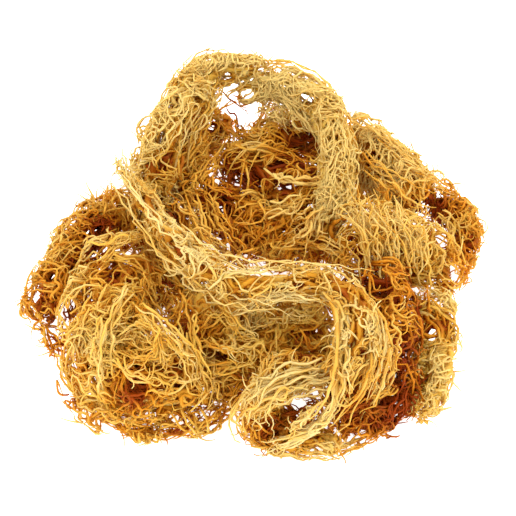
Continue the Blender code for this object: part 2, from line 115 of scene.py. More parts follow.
def along(rows: np.ndarray, share: np.ndarray) -> np.ndarray:
    """Reads a smooth curve through rows of numbers, by the Catmull-Rom formula.

    Args:
        rows: Table of rows that the curve passes through.
        share: Places on the curve, 0 at its first row and 1 at its last, in any shape.

    Returns:
        The rows read there, in the shape of share with one more axis for the columns.
    """
    rows = np.asarray(rows, float)
    padded = np.vstack([2 * rows[0] - rows[1], rows, 2 * rows[-1] - rows[-2]])
    place = np.clip(share, 0, 1) * (len(rows) - 1)
    first = np.minimum(place.astype(int), len(rows) - 2)
    u = (place - first)[..., None]
    a, b, c, d = (padded[first + k] for k in range(4))
    return 0.5 * (2 * b + (c - a) * u + (2 * a - 5 * b + 4 * c - d) * u**2
                  + (3 * b - a - 3 * c + d) * u**3)


def carried_sides(forward: np.ndarray) -> np.ndarray:
    """A direction across each line at each of its points, carried along without twisting.

    The first one is any direction across the line. Each next one is the last one with its part
    along the line taken off, made one long again. All the lines are worked out together.

    Args:
        forward: Directions along the lines, in the shape lines, points, 3.

    Returns:
        The directions across them, in the same shape.
    """
    start = np.cross(forward[:, 0], FIRST_SIDE)
    sides = np.empty_like(forward)
    sides[:, 0] = unit(start)
    for point in range(1, forward.shape[1]):
        last = sides[:, point - 1]
        ahead = forward[:, point]
        sides[:, point] = unit(last - ahead * (last * ahead).sum(axis=1, keepdims=True))
    return sides


def waves(rng: np.random.Generator, share: np.ndarray, lengths: np.ndarray,
          wavelength: Span, height: np.ndarray) -> np.ndarray:
    """A smooth random wandering of lines: three sine waves, each in a direction of its own.

    The later ones are lower, by the share in WAVE_PARTS, and shorter, by two fifths plus three
    fifths of that share.

    Args:
        rng: Source of the random draws.
        share: Places along the lines, in the shape lines, points.
        lengths: Length of each line.
        wavelength: Shortest and longest wave.
        height: Height of each line's waves.

    Returns:
        How far each point is moved, in the shape lines, points, 3.
    """
    count = len(lengths)
    moved = np.zeros((*share.shape, 3))
    for part in WAVE_PARTS:
        direction = unit(rng.normal(size=(count, 1, 3)))
        shorter = 0.4 + 0.6 * part
        turns = lengths / (rng.uniform(*wavelength, count) * shorter)
        phase = rng.uniform(0, 2 * math.pi, count)
        wave = np.sin(2 * math.pi * turns[:, None] * share + phase[:, None])
        moved += part * (height[:, None] * wave)[..., None] * direction
    return moved


@dataclass
class Tubes:
    """Many tubes with the same number of points each, in millimetres of the layout.

    Attributes:
        lines: Their middle lines, in the shape lines, points, 3.
        half_widths: Half the width at each point.
        tones: Tone at each point, from 0 deep to 1 pale, painted shade and painted light included.
        sides: How many sides a tube has.
    """

    lines: np.ndarray
    half_widths: np.ndarray
    tones: np.ndarray
    sides: int = 3

    def triangles(self) -> int:
        """How many triangles the tubes make."""
        count, points = self.half_widths.shape
        return count * (2 * self.sides * (points - 1) + 2 * (self.sides - 2))


@dataclass(frozen=True)
class Growth:
    """One kind of strand: how it heads, bends, swings and lies in its frond.

    Attributes:
        count: How many strands there are.
        course: Which way they head at their roots.
        length: Shortest and longest, in millimetres.
        width: Thinnest and thickest, in millimetres.
        shell: Nearest to the spine and furthest from it, as shares of the girth.
        bend: Spread of the turn that a strand makes over its length, in radians.
        swing: Most that its heading swings to either side, in radians.
        swing_every: Shortest and longest stretch of one swing, in millimetres.
        lift: Height of its waves to and from the spine, in millimetres.
        tone: Added to its tone.
        together: Strands in a bundle.
        loose: How far the strands of a bundle are apart, in millimetres.
        points: Points along a strand.
        spine: Rows of a spine of its own, where it doesn't follow the frond's.
    """

    count: int
    course: Course = Course.ANY
    length: Span = (14.0, 32.0)
    width: Span = (0.7, 1.15)
    shell: Span = (0.45, 0.97)
    bend: float = 2.2
    swing: float = 1.0
    swing_every: Span = (8.0, 16.0)
    lift: float = 0.8
    tone: float = 0.0
    together: int = 3
    loose: float = 1.5
    points: int = 15
    spine: tuple[Row, ...] = ()


def filling(count: int, *spine: Row, tone: float = -0.1) -> Growth:
    """Thicker strands on a spine of their own, filling what lies beside a frond; their lower tone
    is painted shade.
    """
    return Growth(count, width=(0.8, 1.3), tone=tone, spine=spine)


@dataclass(frozen=True)
class Habit:
    """What all the grown strands have in common.

    Attributes:
        upward: Added to the direction out of the spine, so that more strands lie on top.
        scatter: How far a bundle that runs along the spine turns off it.
        crowding: Power that crowds the bundles to the outside of their shell.
        own_length: Least and most of the bundle's length that a strand has.
        own_bend: Spread of the bend within a bundle, as a share of the kind's.
        own_phase: Spread of the swings' start within a bundle, in radians.
        own_swing: Least and most of the kind's swing that a strand has.
        fan: Spread of the headings at a bundle's root, in radians.
        own_shell: Spread of the distance from the spine in a bundle, as a share of the girth.
        dip: Least and most that a root lies deeper, as a share of its distance.
        dip_ends: Share of the strand at which the dip has ended.
        out: Least and most distance from the spine, as shares of the girth.
        own_lift: Least and most of the kind's lift that a strand has.
        lifts: How many lifts there are for each swing.
        inset: How far the strands lie under the girth, in millimetres.
        ripple_every: Shortest and longest ripple, in millimetres.
        ripple: Least and most height of a strand's ripples, in millimetres.
        jump: Longest pace that a strand may have, in its mean paces.
        bundle_tone: Spread of the bundles' tones.
        own_tone: Spread of the tones within a bundle.
        tone: Tone at the depth and height given next.
        depth: Distance from the spine with that tone, and how much the tone gains for a girth;
            the lower tone deeper in is painted shade.
        height: Height with that tone, in millimetres, and the rise that counts as one.
        painted_top_light: How much the tone gains for that rise: painted light on upper strands
            and painted shade on lower ones.
        root: Share of the width that a root has, and share of the strand where that ends.
        tip: Share of the width that is lost at the tip, and share of the strand where it starts.
        swell: Height of the small swellings, as a share of the width.
        swells: Least and most radians of swelling that a strand has.
    """

    upward: Place = (0.0, 0.0, 0.35)
    scatter: float = 0.3
    crowding: float = 1.6
    own_length: Span = (0.75, 1.2)
    own_bend: float = 0.25
    own_phase: float = 0.5
    own_swing: Span = (0.4, 1.0)
    fan: float = 0.25
    own_shell: float = 0.04
    dip: Span = (0.0, 0.4)
    dip_ends: float = 0.25
    out: Span = (0.05, 1.0)
    own_lift: Span = (0.3, 1.0)
    lifts: float = 0.8
    inset: float = 0.6
    ripple_every: Span = (5.0, 10.0)
    ripple: Span = (0.1, 0.35)
    jump: float = 3.2
    bundle_tone: float = 0.055
    own_tone: float = 0.05
    # painted shade on the deeper and lower strands, painted light on the outer and upper ones
    tone: float = 0.5
    depth: Span = (0.75, 0.95)
    height: Span = (18.0, 30.0)
    painted_top_light: float = 0.12
    root: Span = (0.6, 0.12)
    tip: Span = (0.6, 0.5)
    swell: float = 0.14
    swells: Span = (20.0, 45.0)


@dataclass(frozen=True)
class Branchlets:
    """The short side branches.

    Attributes:
        per_strand: How many there are for each strand.
        length: Shortest and longest, in millimetres.
        width: Thinnest and thickest, in millimetres.
        turn: Least and most that one curls round, in radians.
        points: Points along each.
        first_point: First point of a strand that may carry one.
        lean: Least and most angle to the strand, in radians.
        rise: Mean and spread of how far one heads outwards.
        tilt: Spread of the plane that one curls in.
        thickest: Most width that one has, as a share of the strand's there.
        taper: Share of its width that is lost at the tip.
        paling: How much its tone gains to the tip.
        own_tone: Spread of the tones.
    """

    per_strand: float = 1.25
    length: Span = (3.0, 7.5)
    width: Span = (0.55, 0.85)
    turn: Span = (0.8, 3.0)
    points: int = 5
    first_point: int = 2
    lean: Span = (0.5, 1.3)
    rise: Span = (0.08, 0.25)
    tilt: float = 0.35
    thickest: float = 1.05
    taper: float = 0.55
    paling: float = 0.1
    own_tone: float = 0.06


HABIT = Habit()
BRANCHLETS = Branchlets()


@dataclass(frozen=True)
class Lead:
    """Strands that run side by side on a way of their own, such as over the hollow.

    Attributes:
        rows: Places that the middle one passes through.
        strands: How many there are.
        spread: How far they scatter from the middle one, in millimetres.
        tone: Their tone, from 0 deep to 1 pale.
        width: Thinnest and thickest, in millimetres.
        wander: Most height of their waves, in millimetres.
        own_wander: Least and most of that height that a strand has.
        wave_every: Shortest and longest wave, in millimetres.
        first: Least and most share of the way at which a strand starts.
        last: Least and most share of the way at which a strand ends.
        splay_from: Share of a strand at which it starts to splay.
        own_tone: Spread of the tones.
        points: Points along a strand.
    """

    rows: tuple[Place, ...]
    strands: int = 5
    spread: float = 1.3
    tone: float = 0.72
    width: Span = (0.7, 1.1)
    wander: float = 1.1
    own_wander: Span = (0.35, 1.0)
    wave_every: Span = (6.0, 13.0)
    first: Span = (-0.03, 0.45)
    last: Span = (0.6, 1.03)
    splay_from: float = 0.4
    own_tone: float = 0.1
    points: int = 18


@dataclass(frozen=True)
class Opening:
    """A way into the heap that strands bend round, so that it is open or shows its depth.

    Attributes:
        centre: A place on its middle line.
        radius: How far strands keep from that line.
        axis: Direction of the line.
        stops: Whether it ends at the centre, so that only strands ahead of it bend.
        shade: How much painted shade deepens the tone at the centre.
        shade_reach: How far from the centre the painted shade still deepens the tone.
    """

    centre: Place
    radius: float
    axis: Place
    stops: bool = False
    shade: float = 0.0
    shade_reach: float = 1.0

    def offsets(self, lines: np.ndarray) -> tuple[np.ndarray, np.ndarray, np.ndarray]:
        """Where points are from its middle line.

        Args:
            lines: Points in the shape lines, points, 3.

        Returns:
            How far each is ahead of the centre, its offset from the line, and that one's length.
        """
        axis = unit(np.array(self.axis, float))
        offset = lines - np.array(self.centre, float)
        ahead = offset @ axis
        away = offset - ahead[..., None] * axis
        return ahead, away, np.linalg.norm(away, axis=-1)

    def crossed(self, tubes: Tubes) -> np.ndarray:
        """Which tubes pass within the radius of the line, where it is open.

        Args:
            tubes: The tubes.

        Returns:
            True or false for each tube.
        """
        ahead, _, far = self.offsets(tubes.lines)
        inside = far < self.radius
        if self.stops:
            inside &= ahead > 0
        return inside.any(axis=1)

    def bend(self, tubes: Tubes) -> None:
        """Bends strands that pass within the radius round it, and paints shade into the tone round
        it.

        A strand moves away from the line at its nearest point, far enough to clear the radius,
        and its other points move the same way, less with the square of their distance.

        Args:
            tubes: The strands, changed in place.
        """
        ahead, away, far = self.offsets(tubes.lines)
        nearest = far.argmin(axis=1)
        strand = np.arange(len(far))
        least = far[strand, nearest][:, None]
        clear = self.radius + tubes.half_widths.max(axis=1)[:, None]
        push = np.maximum(clear - least, 0) * np.exp(BEND_FALL * (least**2 - far**2) / clear**2)
        if self.stops:
            push = push * (ahead[strand, nearest] > 0)[:, None]
        tubes.lines = tubes.lines + push[..., None] * unit(away[strand, nearest])[:, None]
        apart = np.hypot(ahead, far)
        # painted shade: the tone is lowered round the centre, less with the distance
        tubes.tones = tubes.tones - self.shade * np.exp(-(apart / self.shade_reach) ** 2)


@dataclass(frozen=True)
class ShaderTree:
    """Adds nodes to a material and links them.

    Attributes:
        tree: The material's node tree.
    """

    tree: bpy.types.NodeTree

    def noise(self, place: bpy.types.NodeSocket, scale: float,
              detail: float) -> bpy.types.NodeSocket:
        """A noise from 0 to 1.

        Args:
            place: Where it is read.
            scale: Its scale.
            detail: How many finer noises are in it.

        Returns:
            The noise's socket.
        """
        node = self.tree.nodes.new("ShaderNodeTexNoise")
        node.inputs["Scale"].default_value = scale
        node.inputs["Detail"].default_value = detail
        self.tree.links.new(place, node.inputs["Vector"])
        return node.outputs["Fac"]

    def spread(self, value: bpy.types.NodeSocket, reach: float,
               middle: float) -> bpy.types.NodeSocket:
        """A value from 0 to 1 spread over a reach: the value less a half, times reach, plus middle.

        Args:
            value: The value's socket.
            reach: How far it reaches from its least to its most.
            middle: What a half becomes.

        Returns:
            The result's socket.
        """
        node = self.tree.nodes.new("ShaderNodeMath")
        node.operation = "MULTIPLY_ADD"
        node.inputs[1].default_value = reach
        node.inputs[2].default_value = middle - 0.5 * reach
        self.tree.links.new(value, node.inputs[0])
        return node.outputs[0]

    def total(self, *values: bpy.types.NodeSocket) -> bpy.types.NodeSocket:
        """The sum of two values.

        Args:
            values: The two values' sockets.

        Returns:
            The sum's socket.
        """
        node = self.tree.nodes.new("ShaderNodeMath")
        node.operation = "ADD"
        for value, entry in zip(values, node.inputs):
            self.tree.links.new(value, entry)
        return node.outputs[0]


@dataclass(frozen=True)
class SeaweedFinish:
    """Dry, slightly waxy seaweed; its tone carries painted shade in the depths and painted light
    outside.

    Attributes:
        slot: Material slot of the record that the pieces take.
        colours: Colours of the deepest tone (the strongest painted shade), of two steps between,
            and of the palest tips.
        stops: Tones at which those colours are reached.
        mottles: Scale of each mottling in the colour, and how far it spreads the tone.
        mottle_detail: How many finer noises are in a mottling.
        roughness: Mean roughness.
        roughness_spread: How far the roughness varies.
        gloss: Level of the mirror-like reflection.
        thinness: Share of the light that passes through a strand.
        grain: Scale of the grain.
        grain_detail: How many finer noises are in the grain.
        grain_height: Height of the grain, in metres.
        grain_strength: How strongly the grain turns the surface.
    """

    slot: str
    colours: tuple[Colour, Colour, Colour, Colour]
    stops: tuple[float, float, float, float] = (0.0, 0.36, 0.66, 0.95)
    mottles: tuple[Span, ...] = ((70.0, 1.0), (300.0, 0.2))
    mottle_detail: float = 3.0
    roughness: float = 0.5
    roughness_spread: float = 0.3
    gloss: float = 0.15
    thinness: float = 0.42
    grain: float = 2200.0
    grain_detail: float = 2.0
    grain_height: float = 0.00015
    grain_strength: float = 0.35

    def material(self) -> bpy.types.Material:
        """Builds the material.

        The tone and the mottling set the colour, the finest mottling sets the roughness, and
        the grain sets the bump.

        Returns:
            The material.
        """
        made = bpy.data.materials.new(self.slot + "_strands")
        made.use_nodes = True
        nodes, links = made.node_tree.nodes, made.node_tree.links
        tree = ShaderTree(made.node_tree)
        place = nodes.new("ShaderNodeTexCoord").outputs["Object"]
        tone = nodes.new("ShaderNodeAttribute")
        tone.attribute_name = "tone"
        mixed = tone.outputs["Fac"]
        for scale, reach in self.mottles:
            mottle = tree.noise(place, scale, self.mottle_detail)
            mixed = tree.total(tree.spread(mottle, reach, 0.0), mixed)
        ramp = nodes.new("ShaderNodeValToRGB")
        steps = ramp.color_ramp.elements
        for stop in self.stops[1:-1]:
            steps.new(stop)
        for step, stop, colour in zip(steps, self.stops, self.colours):
            step.position = stop
            step.color = (*colour, 1)
        links.new(mixed, ramp.inputs["Fac"])
        bump = nodes.new("ShaderNodeBump")
        bump.inputs["Strength"].default_value = self.grain_strength
        bump.inputs["Distance"].default_value = self.grain_height
        links.new(tree.noise(place, self.grain, self.grain_detail), bump.inputs["Height"])
        shader = nodes["Principled BSDF"]
        shader.inputs["Specular IOR Level"].default_value = self.gloss
        links.new(ramp.outputs["Color"], shader.inputs["Base Color"])
        links.new(tree.spread(mottle, self.roughness_spread, self.roughness),
                  shader.inputs["Roughness"])
        links.new(bump.outputs["Normal"], shader.inputs["Normal"])
        through = nodes.new("ShaderNodeBsdfTranslucent")
        links.new(ramp.outputs["Color"], through.inputs["Color"])
        both = nodes.new("ShaderNodeMixShader")
        both.inputs["Fac"].default_value = self.thinness
        links.new(shader.outputs["BSDF"], both.inputs[1])
        links.new(through.outputs["BSDF"], both.inputs[2])
        links.new(both.outputs[0], nodes["Material Output"].inputs["Surface"])
        return made


GOLD = SeaweedFinish("seaweed_gold", (
    (0.45, 0.075, 0.002), (0.82, 0.37, 0.017), (0.88, 0.57, 0.088), (0.92, 0.71, 0.24)))
AMBER = SeaweedFinish("seaweed_amber", (
    (0.40, 0.06, 0.0015), (0.80, 0.33, 0.012), (0.87, 0.52, 0.068), (0.91, 0.67, 0.20)))
CREAM = SeaweedFinish("seaweed_cream", (
    (0.50, 0.10, 0.003), (0.84, 0.42, 0.028), (0.89, 0.61, 0.13), (0.92, 0.75, 0.31)))


@dataclass(frozen=True)
class Frond:
    """One frond of the heap, as its spine and what grows round it.

    Attributes:
        name: Name of its node in the frame.
        spine: Rows of x, y, z and girth, the girth being a radius.
        finish: What it looks like.
        growths: The kinds of strand that cover it.
        leads: Strands with a way of their own.
        paler: Added to the tone of its grown strands; its high values, as on the arches, are partly
            painted light that lifts the strands out of the shade among them.
    """

    name: str
    spine: tuple[Row, ...]
    finish: SeaweedFinish
    growths: tuple[Growth, ...]
    leads: tuple[Lead, ...] = ()
    paler: float = 0.0

    def build(self, rng: np.random.Generator) -> int:
        """Makes the frond's piece and lays it over its node.

        Args:
            rng: Source of the frond's random draws.

        Returns:
            How many triangles the piece has.
        """
        inner = [self.grown(growth, rng) for growth in self.depths()]
        batches = [self.grown(growth, rng) for growth in self.growths]
        # strands bend round the openings, and the dents paint shade into their tone
        for batch in inner + batches:
            for opening in OPENINGS:
                opening.bend(batch)
        led = self.led(rng)
        branchlets = [self.clear(self.side_branches(batch, rng)) for batch in batches]
        tubes = (*inner, *batches, led, *branchlets, self.side_branches(led, rng))
        piece = TubeMesh(self.name + "_strands", tubes).build()
        piece.data.materials.append(self.finish.material())
        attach(piece, "root")
        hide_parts(self.name)
        triangles = sum(batch.triangles() for batch in tubes)
        log.info("%s: %d tubes, %d triangles", piece.name, sum(len(b.lines) for b in tubes),
                 triangles)
        return triangles

    def depths(self) -> tuple[Growth, ...]:
        """What fills the frond's depth: thicker strands, and a lower bed of wide, deep ones.

        Returns:
            The two kinds, a third and an eighth as many strands as there are outer ones.
        """
        outer = sum(growth.count for growth in self.growths)
        core = Growth(outer // 3, length=(16.0, 32.0), width=(1.5, 2.5), shell=(0.12, 0.68),
                      bend=2.4, tone=-0.05, together=2, points=11)
        bed = Growth(outer // 8, length=(14.0, 26.0), width=(2.2, 3.6), shell=(0.1, 0.6),
                     bend=2.0, swing=0.6, tone=-0.02, together=1, points=9)
        return core, bed

    @staticmethod
    def clear(tubes: Tubes) -> Tubes:
        """The tubes that don't reach into an opening."""
        kept = ~np.any([opening.crossed(tubes) for opening in OPENINGS], axis=0)
        return Tubes(tubes.lines[kept], tubes.half_widths[kept], tubes.tones[kept])

    @staticmethod
    def nearest(spine: tuple[Row, ...], places: np.ndarray,
                about: np.ndarray | None = None) -> np.ndarray:
        """The row of a spine that each place is nearest to, counted in girths.

        Args:
            spine: Rows of the spine.
            places: Places in any shape with a last axis of 3.
            about: Share of the spine that each first-axis row of places belongs near, if any.

        Returns:
            Rows of x, y, z and girth in the same shape with a last axis of 4.
        """
        share = np.linspace(0, 1, SPINE_PLACES)
        rows = along(spine, share)
        gaps = np.linalg.norm(places[..., None, :] - rows[:, :3], axis=-1) / rows[:, 3]
        if about is not None:
            astray = np.abs(share - about[:, None]) - STRAY_FREE
            gaps = gaps + STRAY_COST * np.maximum(astray, 0)[:, None]
        return rows[gaps.argmin(axis=-1)]

    @staticmethod
    def headings(rng: np.random.Generator, course: Course, spine: tuple[Row, ...],
                 place: np.ndarray, outward: np.ndarray) -> np.ndarray:
        """Directions across the outward ones in which bundles set off.

        Args:
            rng: Source of the random draws.
            course: Which way they head.
            spine: Rows of the spine.
            place: Where on the spine each bundle is.
            outward: Direction from the spine to each bundle.

        Returns:
            One direction for each bundle.
        """
        if course is Course.ANY:
            return unit(np.cross(outward, rng.normal(size=outward.shape)))
        ahead = along(spine, np.minimum(place + SPINE_PACE, 1))[..., :3]
        behind = along(spine, np.maximum(place - SPINE_PACE, 0))[..., :3]
        forward = unit(ahead - behind) * rng.choice((-1.0, 1.0), len(place))[:, None]
        level = forward - outward * (forward * outward).sum(axis=1, keepdims=True)
        return unit(level + HABIT.scatter * rng.normal(size=outward.shape))

    def grown(self, kind: Growth, rng: np.random.Generator) -> Tubes:
        """Strands that wander over the frond at their own distance from its spine.

        A strand starts at a random place round the spine and walks in even steps. Its heading
        is the first one, plus its bend times the share walked, plus its swing times a sine.
        Then each point is brought to its distance from the nearest place of the spine: the
        shell times the girth, less a dip at the root, plus a sine times the lift. A strand
        whose longest pace is far above its mean pace jumps between folds and is left out.

        Args:
            kind: The kind of strand.
            rng: Source of the random draws.

        Returns:
            The strands.
        """
        count, spine = kind.count, kind.spine or self.spine
        bundles = max(2, count // kind.together)
        bundle = rng.integers(0, bundles, count)
        share = np.broadcast_to(np.linspace(0, 1, kind.points), (count, kind.points))
        place = (np.arange(bundles) + rng.uniform(0, 1, bundles)) / bundles
        outward = unit(rng.normal(size=(bundles, 3)))
        outward = unit(outward + np.array(HABIT.upward))
        inner, outer = kind.shell
        shell = outer - (outer - inner) * rng.uniform(0, 1, bundles) ** HABIT.crowding
        rows = along(spine, place)
        root = rows[:, :3] + (shell * rows[:, 3])[:, None] * outward
        heading = self.headings(rng, kind.course, spine, place, outward)
        across = np.cross(outward, heading)

        length = (rng.uniform(*kind.length, bundles)[bundle]
                  * rng.uniform(*HABIT.own_length, count))
        turn = (rng.normal(0, kind.bend, bundles)[bundle]
                + rng.normal(0, HABIT.own_bend * kind.bend, count))[:, None]
        swings = (length / rng.uniform(*kind.swing_every, bundles)[bundle])[:, None]
        phase = (rng.uniform(0, 2 * math.pi, bundles)[bundle]
                 + rng.normal(0, HABIT.own_phase, count))
        swing = kind.swing * rng.uniform(*HABIT.own_swing, count)[:, None]
        angle = (rng.normal(0, HABIT.fan, count)[:, None] + turn * share
                 + swing * np.sin(2 * math.pi * swings * share + phase[:, None]))
        steps = (np.cos(angle)[..., None] * heading[bundle][:, None]
                 + np.sin(angle)[..., None] * across[bundle][:, None])
        walked = np.cumsum(steps, axis=1) * (length / (kind.points - 1))[:, None, None]
        places = (root[bundle] + kind.loose * rng.normal(size=(count, 3)))[:, None] + walked

        rows = self.nearest(spine, places, place[bundle])
        own_shell = shell[bundle] + rng.normal(0, HABIT.own_shell, count)
        dip = rng.uniform(*HABIT.dip, count)[:, None] * (1 - ease(share / HABIT.dip_ends))
        out = np.clip(own_shell[:, None] * (1 - dip), *HABIT.out)
        lift = kind.lift * rng.uniform(*HABIT.own_lift, count)[:, None]
        waved = lift * np.sin(2 * math.pi * HABIT.lifts * swings * share
                              + rng.uniform(0, 2 * math.pi, count)[:, None])
        reach = out * rows[..., 3] + waved - HABIT.inset
        lines = rows[..., :3] + reach[..., None] * unit(places - rows[..., :3])
        ripple = rng.uniform(*HABIT.ripple, count)
        lines = lines + waves(rng, share, length, HABIT.ripple_every, ripple)
        tones = (self.tone_of(lines, out) + kind.tone
                 + (rng.normal(0, HABIT.bundle_tone, bundles)[bundle]
                    + rng.normal(0, HABIT.own_tone, count))[:, None])
        half_widths = self.widths(rng, share, kind.width)
        paces = np.linalg.norm(np.diff(lines, axis=1), axis=2)
        even = paces.max(axis=1) < HABIT.jump * paces.mean(axis=1)
        return Tubes(lines[even], half_widths[even], tones[even])

    def tone_of(self, lines: np.ndarray, out: np.ndarray) -> np.ndarray:
        """Tone from 0 deep to 1 pale: higher on outer and upper strands, as painted light, and
        lower on inner and lower ones, as painted shade.

        It is the tone of the habit, plus the gain times the distance past the habit's depth,
        plus the painted top light times the rises above the habit's height, plus the frond's own.

        Args:
            lines: The strands' points.
            out: Distance of each point from the spine, as a share of the girth.

        Returns:
            A tone for each point.
        """
        # painted shade on deep and low strands, painted light on outer and high ones
        depth, gain = HABIT.depth
        middle, rise = HABIT.height
        height = (lines[..., 2] - middle) / rise
        return HABIT.tone + gain * (out - depth) + HABIT.painted_top_light * height + self.paler

    @staticmethod
    def widths(rng: np.random.Generator, share: np.ndarray, width: Span) -> np.ndarray:
        """Half widths along the strands: thin root, full middle with slow swellings, thin tip.

        The width is the strand's own times a rise over its first eighth, a fall to two fifths
        over its last half, and one plus a small sine.

        Args:
            rng: Source of the random draws.
            share: Places along the strands.
            width: Thinnest and thickest strand.

        Returns:
            Half widths in the shape of share.
        """
        count = len(share)
        own = rng.uniform(*width, count)[:, None]
        root, root_ends = HABIT.root
        lost, tip_starts = HABIT.tip
        rise = root + (1 - root) * ease(share / root_ends)
        fall = 1 - lost * ease((share - tip_starts) / (1 - tip_starts))
        swell = 1 + HABIT.swell * np.sin(rng.uniform(*HABIT.swells, count)[:, None] * share
                                         + rng.uniform(0, 2 * math.pi, count)[:, None])
        return own / 2 * rise * fall * swell

    def led(self, rng: np.random.Generator) -> Tubes:
        """The strands with a way of their own.

        Each follows its lead's smooth curve from a place near its start to one near its end,
        beside it by a fixed scatter that grows towards the tip, with small waves.

        Args:
            rng: Source of the random draws.

        Returns:
            The strands of all the leads.
        """
        parts = []
        for lead in self.leads:
            count = lead.strands
            share = np.broadcast_to(np.linspace(0, 1, lead.points), (count, lead.points))
            first = rng.uniform(*lead.first, count)[:, None]
            last = rng.uniform(*lead.last, count)[:, None]
            lines = along(lead.rows, first + (last - first) * share)
            beside = lead.spread * rng.normal(size=(count, 1, 3))
            splay = lead.spread * rng.normal(size=(count, 1, 3))
            splayed = ease((share - lead.splay_from) / (1 - lead.splay_from))
            lines = lines + beside + splay * splayed[..., None]
            lengths = np.linalg.norm(np.diff(lines, axis=1), axis=2).sum(axis=1)
            height = lead.wander * rng.uniform(*lead.own_wander, count)
            lines = lines + waves(rng, share, lengths, lead.wave_every, height)
            own_tones = rng.normal(lead.tone, lead.own_tone, count)
            tones = np.broadcast_to(own_tones[:, None], share.shape)
            parts.append((lines, self.widths(rng, share, lead.width), tones))
        return Tubes(*(np.concatenate(part) for part in zip(*parts)))

    def side_branches(self, strands: Tubes, rng: np.random.Generator) -> Tubes:
        """Short branchlets that fork from the strands and curl round like hooks.

        A branchlet is part of a circle. It leaves the strand's direction to one side, mostly
        level with the frond's surface, and its place is the root plus length over turn times
        sine of turn times share along its heading, and one less the cosine across it.

        Args:
            strands: The strands that carry them.
            rng: Source of the random draws.

        Returns:
            The branchlets.
        """
        style = BRANCHLETS
        count = round(style.per_strand * len(strands.lines))
        points = strands.lines.shape[1]
        carrier = rng.integers(0, len(strands.lines), count)
        root_at = rng.integers(style.first_point, points - 1, count)
        root = strands.lines[carrier, root_at]
        forward = unit(root - strands.lines[carrier, root_at - 1])
        outward = unit(root - self.nearest(self.spine, root)[..., :3])
        side = rng.choice((-1.0, 1.0), count)
        lean = rng.uniform(*style.lean, count) * side
        level = unit(np.cross(outward, forward))
        heading = unit(np.cos(lean)[:, None] * forward + np.sin(lean)[:, None] * level
                       + rng.normal(*style.rise, count)[:, None] * outward)
        across = unit(np.cross(outward + style.tilt * rng.normal(size=(count, 3)), heading))
        turn = (rng.uniform(*style.turn, count) * rng.choice((-1.0, 1.0), count))[:, None]
        share = np.linspace(0, 1, style.points)[None, :]
        size = rng.uniform(*style.length, count)[:, None]
        lines = (root[:, None]
                 + (size / turn * np.sin(turn * share))[..., None] * heading[:, None]
                 + (size / turn * (1 - np.cos(turn * share)))[..., None] * across[:, None])
        own = np.minimum(rng.uniform(*style.width, count) / 2,
                         strands.half_widths[carrier, root_at] * style.thickest)
        half_widths = own[:, None] * (1 - style.taper * ease(share))
        tones = (strands.tones[carrier, root_at][:, None] + style.paling * share
                 + rng.normal(0, style.own_tone, count)[:, None])
        return Tubes(lines, half_widths, tones)


